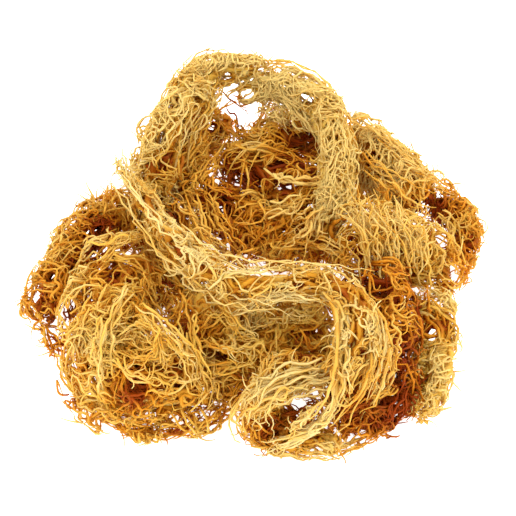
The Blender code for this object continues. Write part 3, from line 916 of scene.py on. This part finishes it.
@dataclass
class TubeMesh:
    """One mesh from several batches of tubes, with a tone for each point and a map of its own.

    Attributes:
        name: Name of the object.
        batches: The tubes.
    """

    name: str
    batches: tuple[Tubes, ...]

    def build(self) -> bpy.types.Object:
        """Makes the mesh and its object in the frame, in metres.

        Returns:
            The object, linked to the scene.
        """
        points, tones, corners, sizes, maps = [], [], [], [], []
        base = 0
        total = sum(len(batch.lines) for batch in self.batches)
        placed = 0
        for batch in self.batches:
            points.append(self.rings(batch).reshape(-1, 3))
            tones.append(np.repeat(batch.tones.ravel(), batch.sides))
            walls, caps = self.faces(batch)
            corners += [walls.ravel() + base, caps.ravel() + base]
            sizes += [np.full(len(walls), 4), np.full(len(caps), batch.sides)]
            maps += self.cells(batch, placed, total)
            base += len(points[-1])
            placed += len(batch.lines)
        return self.assemble(np.concatenate(points), np.concatenate(tones),
                             np.concatenate(corners), np.concatenate(sizes), np.concatenate(maps))

    @staticmethod
    def rings(batch: Tubes) -> np.ndarray:
        """Rings of points round the lines: middle plus half width times cosine and sine.

        Args:
            batch: The tubes.

        Returns:
            Points in the shape lines, points, sides, 3, kept inside the frame's box.
        """
        lines = batch.lines + HEAP_SHIFT
        room = batch.half_widths[..., None] + BOX_ROOM
        lines = np.clip(lines, BOX_LOW + room, BOX_HIGH - room)
        forward = unit(np.gradient(lines, axis=1))
        side = carried_sides(forward)
        over = np.cross(forward, side)
        angle = 2 * math.pi * np.arange(batch.sides) / batch.sides
        around = (np.cos(angle)[:, None] * side[:, :, None]
                  + np.sin(angle)[:, None] * over[:, :, None])
        return lines[:, :, None] + batch.half_widths[..., None, None] * around

    @staticmethod
    def faces(batch: Tubes) -> tuple[np.ndarray, np.ndarray]:
        """Corners of the walls, four to a face, and of the two end caps of each tube.

        Args:
            batch: The tubes.

        Returns:
            The walls and the caps, as rows of point numbers.
        """
        count, points = batch.half_widths.shape
        sides = batch.sides
        ring = np.arange(sides)
        after = (ring + 1) % sides
        starts = np.arange(count)[:, None] * points * sides
        level = np.arange(points - 1)[None, :] * sides
        low = (starts + level)[..., None]
        walls = np.stack([low + ring, low + after, low + sides + after, low + sides + ring],
                         axis=-1).reshape(-1, 4)
        root = starts + ring[::-1]
        tip = starts + (points - 1) * sides + ring
        return walls, np.concatenate([root, tip])

    @staticmethod
    def cells(batch: Tubes, placed: int, total: int) -> list[np.ndarray]:
        """Places on the map: a tall narrow cell for each tube, unrolled, in a few rows.

        Args:
            batch: The tubes.
            placed: How many tubes of the piece have cells already.
            total: How many tubes the piece has.

        Returns:
            Map places of the walls' corners and of the caps' corners.
        """
        count, points = batch.half_widths.shape
        sides = batch.sides
        across = max(1, math.ceil(math.sqrt(total * CELL_TALLNESS)))
        high = math.ceil(total / across)
        number = placed + np.arange(count)
        left = (number % across) / across
        base = (number // across) / high
        width, height = CELL_FILL / across, CELL_FILL / high
        ring = np.arange(sides) / sides
        level = np.arange(points - 1) / (points - 1)
        step_u, step_v = 1 / sides, 1 / (points - 1)
        corner_u = ring[:, None] + np.array((0, 1, 1, 0)) * step_u
        corner_v = level[:, None] + np.array((0, 0, 1, 1)) * step_v
        u = left[:, None, None, None] + width * corner_u[None, None]
        v = base[:, None, None, None] + height * (WALL_FOOT + corner_v[None, :, None])
        u, v = np.broadcast_arrays(u, v)
        walls = np.stack([u, v], axis=-1).reshape(-1, 2)
        turn = 2 * math.pi * ring
        cap_width, cap_height = CAP_SIZE
        low, top = CAP_MIDDLES
        cap_u = left[:, None] + width * (0.5 + cap_width * np.cos(turn))
        low_v = base[:, None] + height * (low + cap_height * np.sin(turn))
        top_v = base[:, None] + height * (top + cap_height * np.sin(turn))
        root = np.stack([cap_u, low_v], axis=-1)[:, ::-1]
        tip = np.stack([cap_u, top_v], axis=-1)
        return [walls, np.concatenate([root, tip]).reshape(-1, 2)]

    def assemble(self, points: np.ndarray, tones: np.ndarray, corners: np.ndarray,
                 sizes: np.ndarray, places: np.ndarray) -> bpy.types.Object:
        """Puts the arrays into a mesh.

        Args:
            points: Points in millimetres of the frame.
            tones: A tone for each point.
            corners: Point numbers of all the faces' corners, one after another.
            sizes: How many corners each face has.
            places: Map places of the corners.

        Returns:
            The object, linked to the scene.
        """
        mesh = bpy.data.meshes.new(self.name)
        mesh.vertices.add(len(points))
        mesh.vertices.foreach_set("co", (points * MM).ravel())
        mesh.loops.add(len(corners))
        mesh.loops.foreach_set("vertex_index", corners.astype(np.int32))
        mesh.polygons.add(len(sizes))
        starts = np.concatenate([[0], np.cumsum(sizes)[:-1]])
        mesh.polygons.foreach_set("loop_start", starts.astype(np.int32))
        mesh.polygons.foreach_set("use_smooth", np.ones(len(sizes), bool))
        mesh.update(calc_edges=True)
        tone = mesh.attributes.new("tone", "FLOAT", "POINT")
        tone.data.foreach_set("value", np.clip(tones, 0, 1).astype(np.float32))
        layer = mesh.uv_layers.new(name="OFBake")
        layer.uv.foreach_set("vector", places.astype(np.float32).ravel())
        piece = bpy.data.objects.new(self.name, mesh)
        bpy.context.scene.collection.objects.link(piece)
        return piece


def sight(x: float, y: float, z: float) -> Place:
    """Direction from a place towards the camera's place."""
    return EYE[0] - x, EYE[1] - y, EYE[2] - z


def see_through(x: float, y: float, z: float, radius: float) -> Opening:
    """A way through the heap to the surface under it, along the line of sight."""
    return Opening((x, y, z), radius, sight(x, y, z))


def dent(x: float, y: float, z: float, radius: float) -> Opening:
    """A crevice that is open towards the camera, with painted shade round its end."""
    return Opening((x, y, z), DENT_CORE * radius, sight(x, y, z), True, DENT_SHADE,
                   DENT_REACH * radius)


OPENINGS = (
    # dents: crevices with painted shade round their ends; see-throughs: open ways to the floor
    *(dent(*row) for row in (
        (-33, 32, 30, 5.5), (-31, 59, 34, 3.5), (-22, 55, 29, 4.0), (-36, 43, 31, 3.0),
        (12, 38, 13, 6.0), (18, 52, 20, 5.5), (66, 25, 15, 5.5), (43, 45, 18, 4.0),
        (-58, 1, 17, 5.5), (-67, -20, 9, 5.0), (-57, 7, 20, 3.0), (-40, -67, 27, 5.0),
        (-26, -46, 31, 5.0), (-36, -37, 36, 3.0), (43, -17, 19, 7.0), (45, -5, 24, 3.5),
        (-6, -63, 22, 4.0), (43, -63, 16, 6.0), (17, -55, 33, 4.5), (35, -64, 26, 5.0),
        (8, -75, 16, 5.0), (67, 10, 12, 4.0), (61, -32, 12, 4.0), (-7, 40, 12, 4.5),
        (-13, 27, 12, 4.5))),
    *(see_through(*row) for row in (
        (-9, 73, 26, 2.7), (-4, 71, 26, 2.4), (-9, 64, 25, 2.9), (-4, 62, 25, 3.1),
        (-6, 55, 24, 1.2), (-17, 59, 22, 2.0), (19, 67, 28, 2.4), (-12, 74, 33, 1.8),
        (-28, -68, 10, 2.0), (48, -63, 8, 2.2), (12, -70, 24, 0.7), (-4, 7, 15, 1.6),
        (-10, 4, 15, 1.3), (-75, -6, 10, 1.8), (61, -32, 10, 2.0), (-57, -58, 10, 1.3))),
)

FRONDS = (
    Frond("frond_left_ball",
          ((-47, -12, 20, 17), (-51, -38, 21, 18.5), (-45, -57, 19, 17.5),
           (-25, -58, 17, 15.5)),
          finish=GOLD,
          growths=(Growth(400),
                   Growth(160, length=(10.0, 20.0), bend=3.6, shell=(0.8, 1.0)),
                   Growth(150, spine=(
                       (-65, -54, 9, 7), (-57, -62, 10, 8), (-44, -68, 10, 8),
                       (-29, -68, 9, 8), (-19, -65, 9, 8), (-12, -61, 9, 7))),
                   Growth(80, tone=-0.15, spine=(
                       (-36, -16, 18, 8), (-29, -24, 18, 8), (-23, -36, 17, 9)))),
          leads=(
              Lead(((-50, -30, 36), (-54, -41, 36), (-56, -50, 33), (-58, -55, 26),
                    (-59, -58, 16)), 14, 2.2, 0.8),
              Lead(((-44, -36, 39), (-49, -48, 39), (-51, -57, 37), (-52, -63, 31),
                    (-50, -66, 21)), 14, 2.2, 0.78),
              Lead(((-45, -54, 41), (-39, -51, 42), (-33, -55, 41), (-33, -62, 39),
                    (-38, -63, 38), (-43, -60, 39)), 12, 1.6, 0.66),
              Lead(((-46, -62, 39), (-42, -68, 36), (-36, -69, 35), (-35, -64, 37)), 6, 0.9, 0.7),
              Lead(((-43, -46, 42), (-36, -50, 42), (-28, -57, 40), (-22, -63, 36),
                    (-19, -68, 28)), 12, 1.8, 0.72),
              Lead(((-25, -34, 36), (-22, -47, 36), (-21, -57, 33), (-18, -64, 26),
                    (-15, -67, 15)), 10, 1.6, 0.62),
              Lead(((-68, -41, 13), (-65, -51, 10), (-57, -61, 7), (-47, -67, 5), (-35, -69, 4),
                    (-21, -68, 4)), 12, 1.3, 0.5),
              Lead(((-49, -67, 20), (-41, -69, 17), (-33, -67, 18), (-24, -66, 20),
                    (-16, -66, 22)), 9, 1.6, 0.6),
          )),
    Frond("frond_far_left",
          ((-75, -20, 10, 10.5), (-68, -3, 15, 11), (-60, 11, 16, 11), (-50, 22, 15, 10)),
          finish=AMBER, paler=0.04,
          growths=(Growth(300, length=(10.0, 26.0), width=(0.7, 1.15)),
                   Growth(70, length=(8.0, 20.0), spine=(
                       (-70, -16, 9, 7), (-74, -25, 8, 7), (-71, -32, 6, 6),
                       (-66, -34, 6, 6))),
                   Growth(30, length=(8.0, 18.0), spine=((-79, -10, 8, 6), (-79, -22, 7, 6)))),
          leads=(
              Lead(((-47, 17, 24), (-56, 14, 23), (-64, 10, 21), (-71, 3, 18), (-77, -4, 14)), 12),
              Lead(((-77, -1, 12), (-78, -8, 9), (-73, -11, 8)), 6, 0.8, 0.6, (0.7, 1.0)),
              Lead(((-57, 10, 22), (-59, 14, 25), (-60, 19, 28)), 8, 1.6, 0.7, (0.7, 1.0)),
              Lead(((-54, 13, 22), (-54, 17, 26), (-53, 21, 29)), 8, 1.6, 0.7, (0.7, 1.0)),
              Lead(((-52, -7, 20), (-59, -10, 18), (-64, -16, 14), (-67, -22, 9)), 8, 1.2, 0.6),
          )),
    Frond("frond_middle",
          ((-36, 17, 13, 15), (-28, -1, 14, 15), (-14, -14, 14, 14)),
          finish=AMBER,
          growths=(Growth(170),
                   filling(40, (-51, 16, 10, 7), (-45, 9, 11, 8)),
                   filling(80, (-44, 18, 12, 8), (-40, 4, 13, 10), (-31, -20, 14, 11),
                           (-24, -28, 16, 9), tone=-0.12)),
          leads=(
              Lead(((-40, 14, 22), (-34, 1, 22), (-25, -11, 24), (-15, -21, 26)), 9, 2.0, 0.6),
              Lead(((-29, 7, 20), (-22, -2, 20), (-13, -10, 21), (-3, -15, 22)), 9, 2.0, 0.55),
          )),
    Frond("frond_centre",
          ((-16, -36, 18, 19), (-3, -44, 17, 19), (14, -41, 18, 17)),
          finish=GOLD, paler=0.05,
          growths=(Growth(310, length=(10.0, 24.0), width=(0.7, 1.1), bend=3.0),
                   Growth(110, width=(0.75, 1.2), tone=-0.1, spine=(
                       (-22, -44, 12, 9), (-14, -54, 9, 9), (-2, -56, 12, 9), (10, -52, 14, 9))),
                   Growth(110, width=(0.75, 1.2), spine=(
                       (-8, -32, 30, 7), (4, -36, 30, 8), (14, -38, 30, 8), (24, -36, 28, 7))),
                   filling(100, (-18, -22, 18, 8), (-7, -23, 18, 8), (4, -24, 18, 8),
                           (16, -27, 19, 9), (27, -33, 20, 8), tone=-0.12),
                   Growth(55, length=(12.0, 26.0), width=(1.2, 2.0), spine=(
                       (-4, -15, 9, 8), (10, -16, 9, 9), (22, -17, 9, 9), (33, -21, 9, 8))),
                   filling(60, (14, -48, 16, 9), (24, -46, 17, 9), (29, -54, 16, 8))),
          leads=(
              Lead(((-19, -48, 33), (-15, -54, 33), (-10, -56, 33), (-4, -55, 34)), 6, 0.8, 0.8),
              Lead(((-15, -39, 38), (-11, -43, 38), (-6, -49, 36), (-4, -54, 33)), 8, 1.6, 0.7),
              Lead(((-21, -58, 26), (-14, -60, 26), (-7, -58, 27), (0, -61, 27)), 9, 2.0, 0.55),
          )),
    Frond("frond_front_right",
          ((45, -26, 20, 17), (42, -47, 17, 17), (31, -67, 11, 11), (45, -60, 10, 10)),
          finish=AMBER, paler=-0.27,
          growths=(Growth(370, length=(12.0, 28.0)),
                   Growth(50, length=(10.0, 22.0), width=(1.2, 2.0), tone=0.05, spine=(
                       (34, -10, 9, 7), (43, -13, 9, 8), (53, -17, 9, 7))),
                   Growth(70, length=(9.0, 22.0), spine=(
                       (50, -50, 12, 8), (52, -57, 10, 6.5), (46, -69, 8, 6)))),
          leads=(
              Lead(((42, -47, 38), (45, -54, 33), (44, -61, 27), (39, -67, 20), (33, -72, 12)),
                   9, 1.5, 0.66),
              Lead(((38, -48, 40), (38, -57, 36), (35, -65, 31), (31, -70, 23), (27, -75, 14)),
                   8, 1.4, 0.66),
              Lead(((31, -54, 38), (36, -57, 36), (42, -54, 35), (47, -48, 33)), 6, 1.0, 0.7),
              Lead(((46, -61, 22), (41, -64, 20), (35, -67, 20), (29, -70, 18)), 8, 1.4, 0.6),
              Lead(((20, -77, 5), (28, -77, 5), (37, -73, 6), (44, -67, 8)), 9, 1.2, 0.5),
          )),
    Frond("frond_right_low",
          ((62, -24, 13, 9.5), (62, -42, 11, 9.5), (59, -57, 9, 8.5)),
          finish=GOLD, paler=0.34,
          growths=(Growth(210, length=(10.0, 24.0), width=(0.7, 1.15)),
                   Growth(60, length=(8.0, 18.0), spine=(
                       (60, -55, 8, 7), (56, -64, 7, 6)))),
          leads=(
              Lead(((54, -28, 20), (62, -26, 19), (69, -31, 15), (69, -37, 10), (63, -40, 8),
                    (57, -39, 10)), 9, 1.1, 0.7),
              Lead(((54, -48, 15), (63, -44, 12), (67, -49, 8), (65, -55, 4)), 8, 1.1, 0.7),
          )),
    Frond("frond_right_brush",
          ((36, 0, 21, 18), (52, -1, 18, 16), (64, -4, 13, 12.5)),
          finish=GOLD, paler=0.0,
          growths=(Growth(260, length=(10.0, 26.0), width=(0.65, 1.05)),
                   filling(80, (-8, -8, 14, 9), (6, -4, 13, 10), (18, -2, 13, 10),
                           (30, 4, 12, 10), (40, 12, 12, 9))),
          leads=(
              Lead(((41, -18, 27), (40, -12, 34), (37, -5, 39), (33, 2, 41)), 34, 2.8, 0.78,
                   (0.65, 1.0)),
              Lead(((49, -16, 25), (48, -10, 32), (46, -4, 36), (43, 3, 37)), 34, 2.8, 0.8,
                   (0.65, 1.0)),
              Lead(((57, -14, 20), (57, -8, 27), (55, -2, 32), (52, 5, 32)), 34, 2.8, 0.8,
                   (0.65, 1.0)),
              Lead(((34, -7, 20), (43, -13, 20), (52, -12, 18), (61, -14, 14), (65, -19, 9)),
                   9, 1.6, 0.62),
          )),
    Frond("frond_back_right",
          ((38, 57, 14, 12), (48, 43, 14, 14), (58, 28, 13, 13.5)),
          finish=AMBER, paler=0.45,
          growths=(Growth(330, length=(10.0, 26.0), width=(0.7, 1.1)),
                   Growth(40, length=(8.0, 18.0), spine=((62, 39, 13, 8), (69, 34, 12, 8))),
                   Growth(30, length=(10.0, 22.0), width=(0.9, 1.5), spine=(
                       (38, 24, 9, 7), (46, 17, 9, 8), (58, 12, 9, 7)))),
          leads=(
              Lead(((33, 56, 26), (41, 54, 27), (48, 48, 26), (54, 41, 24), (62, 33, 22),
                    (70, 29, 18)), 15, 2.0, 0.78),
              Lead(((35, 44, 24), (42, 35, 24), (50, 28, 23), (57, 21, 21), (66, 20, 18)),
                   10, 1.8, 0.72),
              Lead(((42, 33, 24), (46, 25, 23), (45, 17, 22), (41, 12, 22)), 8, 1.4, 0.66),
          )),
    Frond("frond_right_tip",
          ((69, 29, 9, 8), (76, 20, 10, 8), (76, 9, 9, 7.5)),
          finish=AMBER, paler=0.08,
          growths=(Growth(190, length=(8.0, 20.0), width=(0.7, 1.1)),
                   Growth(50, length=(8.0, 18.0), spine=(
                       (76, 10, 9, 7), (72, -2, 9, 7), (68, -14, 9, 6)))),
          leads=(
              Lead(((71, 29, 17), (77, 25, 14), (81, 18, 10), (80, 10, 6)), 9, 1.0, 0.66),
              Lead(((66, 19, 17), (71, 14, 15), (71, 7, 12), (75, 3, 7)), 8, 1.2, 0.66),
          )),
    Frond("frond_back_left",
          ((-32, 37, 14, 12), (-25, 55, 15, 12), (-16, 69, 14, 11)),
          finish=AMBER,
          growths=(Growth(220),),
          leads=(
              Lead(((-34, 32, 22), (-27, 39, 24), (-22, 48, 24), (-16, 58, 23)), 12, 2.4, 0.6),
              Lead(((-14, 60, 18), (-11, 58, 17), (-8, 55, 17), (-4, 54, 17)), 9, 1.2, 0.5),
              Lead(((-12, 62, 19), (-10, 60, 18), (-7, 57, 17), (-2, 57, 17)), 5, 1.0, 0.55),
              Lead(((-31, 26, 18), (-23, 30, 20), (-17, 38, 21), (-13, 49, 20)), 12, 2.4, 0.55),
          )),
    Frond("frond_hollow",
          ((-23, 30, 11, 13), (-8, 20, 11, 14), (9, 10, 11, 15), (21, 28, 13, 16),
           (6, 38, 12, 15), (-5, 50, 12, 12), (15, 58, 13, 15)),
          finish=AMBER, paler=-0.05,
          growths=(Growth(430, swing_every=(9.0, 20.0)),
                   filling(150, (-20, 50, 12, 9), (-5, 50, 10, 9), (8, 66, 14, 9),
                           (19, 62, 13, 10), (33, 42, 12, 9), (37, 34, 12, 8)),
                   filling(80, (-20, 10, 13, 9), (-5, 5, 13, 9), (8, 4, 13, 9), (20, 6, 13, 9)),
                   Growth(100, width=(0.8, 1.4), tone=-0.05, spine=(
                       (2, 62, 13, 9), (12, 63, 13, 9), (22, 54, 14, 9), (26, 44, 13, 9),
                       (30, 30, 12, 9)))),
          leads=(
              Lead(((2, 30, 26), (9, 24, 28), (18, 22, 29), (26, 23, 32), (31, 27, 36)),
                   4, 1.5, 0.97, (1.0, 1.4), 1.3),
              Lead(((29, 15, 33), (25, 10, 30), (20, 6, 28), (15, 0, 26), (10, -6, 25),
                    (2, -8, 24)), 5, 2.2, 0.9, (0.9, 1.3), 1.5),
              Lead(((22, 10, 31), (20, 5, 28), (18, -2, 26), (15, -8, 24)), 4, 2.2, 0.88,
                   (0.9, 1.3), 1.5),
              Lead(((-3, 9, 22), (2, 11, 25), (9, 12, 27), (16, 15, 29), (23, 18, 32)),
                   4, 2.0, 0.9, (0.9, 1.3), 1.5),
              Lead(((13, 1, 23), (23, -3, 24), (32, -10, 26), (41, -19, 28)), 9, 1.2, 0.72),
              Lead(((-13, 66, 24), (-9, 62, 22), (-7, 58, 20), (-1, 56, 19), (6, 57, 21)),
                   3, 0.5, 0.2, (0.7, 0.9)),
              Lead(((-14, 70, 30), (-9, 68, 28), (-6, 65, 26), (2, 64, 26)), 3, 0.7, 0.3,
                   (0.7, 0.9)),
              Lead(((-26, 25, 23), (-23, 13, 22), (-19, 1, 23), (-13, -12, 27)), 9, 1.8, 0.66),
              Lead(((-17, 31, 22), (-16, 19, 21), (-13, 8, 21), (-7, -3, 22)), 9, 1.8, 0.55),
              Lead(((-11, 48, 23), (-3, 44, 24), (7, 44, 25), (16, 37, 26)), 9, 1.6, 0.5),
          )),
    Frond("frond_left_arch",
          ((-38, 22, 8, 7), (-37, 27, 22, 8), (-33, 41, 34, 9), (-25, 58, 37, 10),
           (-17, 71, 37, 9), (-2, 75, 35.5, 7)),
          finish=GOLD, paler=0.45,
          growths=(Growth(260, length=(9.0, 22.0), width=(0.6, 0.95)),
                   Growth(50, length=(9.0, 22.0), spine=(
                       (-46, 30, 12, 6), (-44, 38, 20, 6), (-39, 50, 30, 6))),
                   Growth(140, Course.ALONG, length=(18.0, 44.0), width=(0.65, 1.05),
                          bend=0.8, swing=0.8)),
          leads=(
              Lead(((-39, 27, 10), (-43, 30, 22), (-41, 37, 31), (-36, 49, 36), (-30, 65, 38),
                    (-22, 78, 37), (-12, 80, 35), (-5, 75, 32)), 18, 1.5, 0.78),
              Lead(((-34, 27, 12), (-37, 33, 26), (-33, 43, 34), (-27, 56, 37), (-21, 69, 37),
                    (-13, 75, 35), (-4, 72, 32)), 14, 2.2, 0.7),
              Lead(((-21, 30, 14), (-26, 37, 23), (-23, 47, 31), (-17, 58, 34), (-15, 68, 35),
                    (-9, 74, 34), (-2, 72, 33)), 10, 1.5, 0.66),
              Lead(((-43, 29, 20), (-39, 20, 20), (-34, 8, 22), (-27, -7, 26), (-18, -20, 32)),
                   14, 2.0, 0.75),
          )),
    Frond("frond_right_arch",
          ((-5, 69, 29, 5.5), (9, 69, 33, 7.5), (22, 57, 34, 9), (29, 37, 33, 9),
           (28, 17, 28, 8.5), (23, 3, 22, 7)),
          finish=GOLD, paler=0.43,
          growths=(Growth(230, length=(9.0, 22.0), width=(0.6, 0.9)),
                   Growth(70, length=(9.0, 20.0), width=(0.6, 0.9), tone=0.05, spine=(
                       (4, 62, 28, 6), (12, 60, 28, 7), (19, 53, 28, 7))),
                   Growth(140, Course.ALONG, length=(18.0, 44.0), width=(0.65, 1.0),
                          bend=0.8, swing=0.8)),
          leads=(
              Lead(((-7, 74, 31), (2, 74, 34), (12, 74, 35), (23, 67, 35), (29, 57, 34),
                    (32, 44, 33), (32, 31, 31), (29, 21, 27), (24, 14, 21)), 20, 1.5, 0.82),
              Lead(((4, 73, 30), (9, 70, 31), (20, 61, 32), (26, 48, 32), (28, 35, 30),
                    (26, 25, 27), (22, 19, 22)), 14, 1.8, 0.72),
              Lead(((0, 73, 35), (5, 76, 38), (10, 77, 38), (16, 73, 36)), 3, 0.5, 0.7,
                   (0.7, 1.0)),
              Lead(((30, 37, 31), (31, 22, 28), (33, 11, 25), (34, -1, 22)), 12, 2.0, 0.76),
              Lead(((7, 72, 27), (5, 69, 26), (3, 65, 25), (3, 63, 23)), 8, 1.3, 0.62),
          )),
    Frond("frond_front_sweep",
          ((-48, 25, 32, 1.6), (-40, 7, 37, 4.5), (-29, -17, 42, 6), (-15, -35, 45, 7),
           (2, -41, 46, 7.5), (19, -38, 46, 6.5), (32, -44, 44, 6.5), (32, -60, 41, 7),
           (26, -71, 34, 7)),
          finish=CREAM, paler=-0.06,
          growths=(Growth(230, length=(9.0, 24.0), width=(0.6, 1.0), shell=(0.6, 1.2), bend=2.8),
                   Growth(60, Course.ALONG, length=(14.0, 34.0), width=(0.65, 1.1),
                          shell=(0.6, 1.3), bend=0.9, swing=1.1)),
          leads=(
              Lead(((-43, 12, 36), (-47, 21, 35), (-50, 29, 33), (-52, 35, 30)), 9, 1.1, 0.85,
                   (0.7, 1.0)),
              Lead(((-49, 25, 34), (-40, 8, 38), (-30, -10, 42), (-18, -26, 45), (-6, -33, 46),
                    (9, -35, 46), (24, -37, 46), (38, -40, 44)), 10, 2.6, 0.85, (0.7, 1.15), 1.7),
              Lead(((-51, 24, 33), (-42, 5, 37), (-33, -15, 41), (-21, -32, 44),
                    (-10, -40, 45), (2, -43, 46), (14, -44, 46)), 8, 2.6, 0.8, (0.7, 1.15), 1.7),
              Lead(((20, -41, 46), (27, -48, 46), (28, -58, 44), (27, -70, 40), (25, -79, 35),
                    (21, -83, 28)), 18, 1.5, 0.7, (0.85, 1.3)),
              Lead(((26, -44, 46), (35, -49, 44), (38, -58, 41), (37, -68, 37), (32, -75, 31),
                    (26, -80, 24)), 9, 1.4, 0.6),
              Lead(((31, -40, 45), (40, -48, 43), (43, -59, 39), (39, -69, 34), (34, -76, 27)),
                   8, 1.4, 0.7),
              Lead(((-8, -47, 40), (2, -44, 44), (14, -44, 46), (25, -47, 46)), 9, 1.0, 0.82),
          )),
    Frond("frond_front_loop",
          ((29, -62, 26, 6), (14, -63, 30, 7.5), (1, -67, 24, 8.5), (2, -73, 11, 8),
           (24, -77, 9, 6.5)),
          finish=CREAM,
          growths=(Growth(140, length=(9.0, 22.0), width=(0.65, 1.0), shell=(0.7, 1.05)),
                   Growth(60, length=(8.0, 20.0), width=(0.8, 1.3), tone=-0.2, spine=(
                       (2, -70, 12, 7), (10, -72, 13, 7), (19, -70, 15, 7), (25, -74, 12, 6))),
                   Growth(50, length=(8.0, 18.0), tone=-0.1, spine=(
                       (1, -66, 18, 6), (8, -64, 20, 6), (18, -63, 21, 5), (26, -67, 20, 6))),
                   Growth(130, Course.ALONG, length=(16.0, 36.0), width=(0.65, 1.1),
                          bend=0.7, swing=0.7)),
          leads=(
              Lead(((28, -63, 36), (21, -67, 36), (13, -68, 36), (3, -72, 35), (-3, -77, 32),
                    (-6, -80, 25), (-2, -81, 16)), 21, 1.5, 0.88, (0.85, 1.3)),
              Lead(((24, -69, 34), (16, -71, 34), (8, -75, 34), (1, -79, 31), (0, -81, 23)),
                   14, 1.5, 0.8, (0.8, 1.25)),
              Lead(((28, -75, 30), (22, -80, 25), (15, -82, 19), (6, -81, 13), (-1, -78, 12)),
                   14, 1.4, 0.78, (0.8, 1.25)),
              Lead(((-3, -78, 14), (4, -80, 9), (13, -80, 6), (24, -79, 5), (32, -77, 6)),
                   9, 1.2, 0.6),
              Lead(((24, -75, 32), (17, -79, 29), (13, -81, 24), (9, -83, 18)), 8, 1.2, 0.7),
              Lead(((6, -63, 13), (8, -66, 12), (10, -71, 12), (12, -76, 12)), 12, 1.6, 0.42),
              Lead(((8, -62, 14), (10, -66, 13), (11, -69, 12), (14, -73, 12)), 8, 1.4, 0.48),
              Lead(((19, -62, 20), (21, -64, 18), (23, -65, 16), (25, -67, 14)), 8, 1.4, 0.5),
          )),
)


@dataclass(frozen=True)
class Lamp:
    """A square soft light that faces the heap.

    Attributes:
        name: Its name.
        place: Where it is, in metres.
        power: Its power, in watts.
        size: Length of its side, in metres.
    """

    name: str
    place: Place
    power: float
    size: float = 0.6

    def build(self) -> None:
        """Makes the light."""
        lamp = bpy.data.lights.new(self.name, "AREA")
        lamp.energy = self.power
        lamp.size = self.size
        light = bpy.data.objects.new(self.name, lamp)
        light.location = self.place
        light.rotation_euler = (-Vector(self.place)).to_track_quat("-Z", "Y").to_euler()
        bpy.context.scene.collection.objects.link(light)


@dataclass(frozen=True)
class Studio:
    """The pale floor, the soft lights and the camera.

    Attributes:
        target: Point that the camera looks at, in millimetres of the layout.
        elevation: Height of the view above the horizon, in degrees.
        distance: From the target to the camera, in metres.
        lens: Focal length, in millimetres.
        sensor: Width of the camera's sensor, in millimetres.
        surround: Brightness of the white surround.
        lamps: The lights, one above the front left and one behind the right.
        floor_reach: Half the side of the floor, in metres.
        floor_white: How much light the floor gives back.
        floor_glow: Light of its own that keeps the floor as white as the photograph's.
    """

    target: Place = (0.2, -5.5, 20.0)
    elevation: float = 50.0
    distance: float = 0.614
    lens: float = 120.0
    sensor: float = 36.0
    surround: float = 1.9
    lamps: tuple[Lamp, ...] = (Lamp("key", (-0.35, -0.45, 0.9), 1.2),
                               Lamp("back", (0.4, 0.6, 0.6), 2.0))
    floor_reach: float = 3.0
    floor_white: float = 0.9
    floor_glow: float = 0.9

    def build(self) -> None:
        """Makes the floor, the lights and the camera."""
        self.floor()
        self.lights()
        self.camera()

    def floor(self) -> None:
        """A wide matt white sheet on the surface that the heap lies on."""
        mesh = bpy.data.meshes.new("floor")
        reach = self.floor_reach
        mesh.from_pydata([(-reach, -reach, 0), (reach, -reach, 0), (reach, reach, 0),
                          (-reach, reach, 0)], [], [(0, 1, 2, 3)])
        sheet = bpy.data.objects.new("floor", mesh)
        bpy.context.scene.collection.objects.link(sheet)
        paint = bpy.data.materials.new("floor_white")
        paint.use_nodes = True
        shader = paint.node_tree.nodes["Principled BSDF"]
        shader.inputs["Base Color"].default_value = (*[self.floor_white] * 3, 1)
        shader.inputs["Roughness"].default_value = 0.9
        shader.inputs["Specular IOR Level"].default_value = 0.1
        shader.inputs["Emission Color"].default_value = (1, 1, 1, 1)
        shader.inputs["Emission Strength"].default_value = self.floor_glow
        mesh.materials.append(paint)

    def lights(self) -> None:
        """A bright white surround and the lamps."""
        world = bpy.data.worlds.new("studio")
        world.use_nodes = True
        world.node_tree.nodes["Background"].inputs["Color"].default_value = (1, 1, 1, 1)
        world.node_tree.nodes["Background"].inputs["Strength"].default_value = self.surround
        bpy.context.scene.world = world
        for lamp in self.lamps:
            lamp.build()

    def camera(self) -> None:
        """The camera at the photograph's angle, level with the picture's edges."""
        lens = bpy.data.cameras.new("camera")
        lens.lens = self.lens
        lens.sensor_width = self.sensor
        viewer = bpy.data.objects.new("camera", lens)
        rise = math.radians(self.elevation)
        back = Vector((0, -math.cos(rise), math.sin(rise)))
        target = Vector((np.array(self.target) + HEAP_SHIFT) * MM)
        viewer.location = target + back * self.distance
        viewer.rotation_euler = (-back).to_track_quat("-Z", "Y").to_euler()
        bpy.context.scene.collection.objects.link(viewer)
        bpy.context.scene.camera = viewer


def main() -> None:
    """Builds the fronds in order, then the studio round them."""
    logging.basicConfig(level=logging.INFO, format="%(name)s: %(message)s")
    triangles = sum(frond.build(np.random.default_rng(FIRST_SEED + number))
                    for number, frond in enumerate(FRONDS))
    log.info("%d triangles in all", triangles)
    Studio().build()
    bpy.context.scene.view_settings.view_transform = "Standard"


if __name__ == "__main__":
    main()
